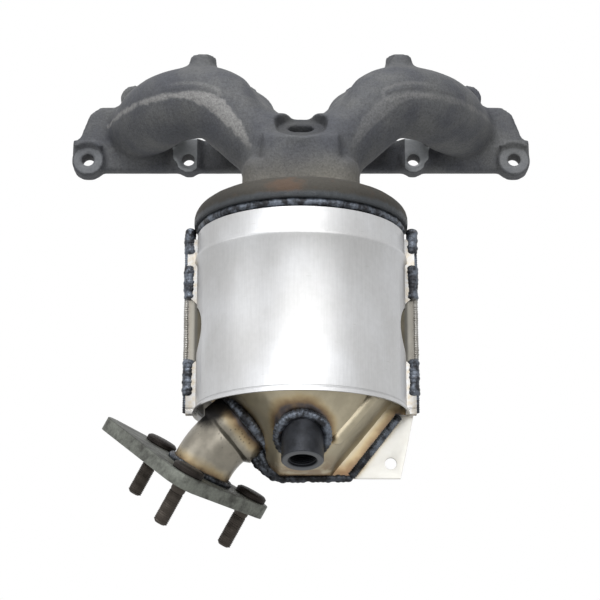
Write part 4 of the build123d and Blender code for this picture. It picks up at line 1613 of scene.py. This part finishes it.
@dataclass
class Studio:
    """White surroundings, a pale floor, soft lamps and the photograph's camera."""

    distance: float = 1.385
    elevation: float = 16.0
    target: Vector = field(default_factory=lambda: Vector((0.0, CAN_Y * MM, -0.1555)))
    lens: float = 120.0
    shift: float = -1.0 / 600.0
    sensor_width: float = 36.0
    floor_height: float = -1.85
    floor_size: float = 9.0
    floor_tones: tuple = (rgb(236, 236, 234), rgb(242, 242, 240))
    ambient: float = 0.44
    floor_glow: float = 0.55
    floor_dim: tuple = (0.45, 0.45, 0.45, 1.0)
    lamps: tuple = (
        Lamp("front_softbox", Vector((0.17, -1.7, 0.35)), 1.7, 18.5),
        Lamp("top_softbox", Vector((-0.25, -0.8, 1.3)), 0.9, 21.0),
        Lamp("side_softbox", Vector((-1.4, -0.9, 0.1)), 0.9, 3.0),
    )

    def build(self) -> None:
        """Builds the studio."""
        scene = bpy.context.scene
        scene.view_settings.view_transform = "Standard"
        tilt = math.radians(self.elevation)
        data = bpy.data.cameras.new("photo_camera")
        data.lens = self.lens
        data.sensor_width = self.sensor_width
        data.shift_x = self.shift
        camera = link(data, "photo_camera")
        camera.location = self.target - self.distance * Vector((0.0, math.cos(tilt), math.sin(tilt)))
        camera.rotation_euler = (math.pi / 2 + tilt, 0.0, 0.0)
        scene.camera = camera
        self.world(scene)
        self.floor()
        for lamp in self.lamps:
            lamp.build()

    def world(self, scene: bpy.types.Scene) -> None:
        """Lights the object evenly, and shows white behind it and in its gloss."""
        world = bpy.data.worlds.new("white_studio")
        world.use_nodes = True
        scene.world = world
        graph = Graph(world.node_tree)
        path = graph.add("ShaderNodeLightPath")
        seen = Term(graph, path.outputs["Is Camera Ray"]).high(Term(graph, path.outputs["Is Glossy Ray"]))
        seen = seen.high(Term(graph, path.outputs["Is Transmission Ray"]))
        strength = seen * (1.0 - self.ambient) + self.ambient
        light = graph.add("ShaderNodeBackground", None, {"Color": WHITE, "Strength": strength})
        graph.add("ShaderNodeOutputWorld", None, {"Surface": light.outputs[0]})

    def floor(self) -> None:
        """Lays the pale floor far under the object, lifted towards white where the camera sees it."""
        work = bmesh.new()
        bmesh.ops.create_grid(work, x_segments=1, y_segments=1, size=self.floor_size)
        bmesh.ops.translate(work, verts=work.verts, vec=(0.0, 0.0, self.floor_height))
        floor = settle(work, "studio_floor")
        shader = Shader("floor_paper")
        tone = shader.blend(shader.noise(0.002, 2.0), *self.floor_tones)
        path = shader.add("ShaderNodeLightPath")
        glow = shader.blend(path.outputs["Is Camera Ray"], self.floor_dim, WHITE)
        paper = shader.finish(tone, 0.0, 0.9, Emission_Color=glow, Emission_Strength=self.floor_glow)
        floor.data.materials.append(paper)
        floor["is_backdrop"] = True


SHEETS = (
    SheetPiece("front_shell", Slot.SHELL),
    SheetPiece("rear_shell", Slot.SHELL),
    SheetPiece("front_heat_shield", Slot.SHIELD),
    SheetPiece("rear_heat_shield", Slot.SHIELD),
    SheetPiece("outlet_pipe", Slot.PIPE, bevel=0.0),
    SheetPiece("outlet_flange", Slot.FLANGE, bevel=0.5, flats=True),
    SheetPiece("support_bracket", Slot.BRACKET, flats=True),
)

CARRIED = {
    "upper_monolith": Slot.CERAMIC,
    "lower_monolith": Slot.CERAMIC,
    "upper_support_mat": Slot.MAT,
    "lower_support_mat": Slot.MAT,
}


def build_pieces(finishes: Finishes) -> None:
    """Builds every piece of the object with its finish."""
    casting = Casting().build(finishes)
    logger.info("%s: %d faces", casting.name, len(casting.data.polygons))
    for sheet in SHEETS:
        piece = sheet.build(finishes)
        logger.info("%s: %d faces", piece.name, len(piece.data.polygons))
    Welds(finishes).build()
    threads = ThreadTree()
    OutletStuds(finishes).build(threads)
    SensorBung(finishes).build(threads)
    for node, slot in CARRIED.items():
        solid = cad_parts[node]
        solid.data.materials.clear()
        solid.data.materials.append(finishes.by_slot[slot])


def corners(box: Any) -> list[list[float]]:
    """Writes a box as plain lists of numbers."""
    return [[float(value) for value in corner] for corner in box]


def main() -> None:
    """Builds the scene."""
    logging.basicConfig(level=logging.INFO, format="%(name)s %(message)s")
    solid_box = corners(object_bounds())
    build_pieces(Finishes())
    Studio().build()
    {"cad": solid_box, "visual": corners(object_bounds())}


if __name__ == "__main__":
    main()
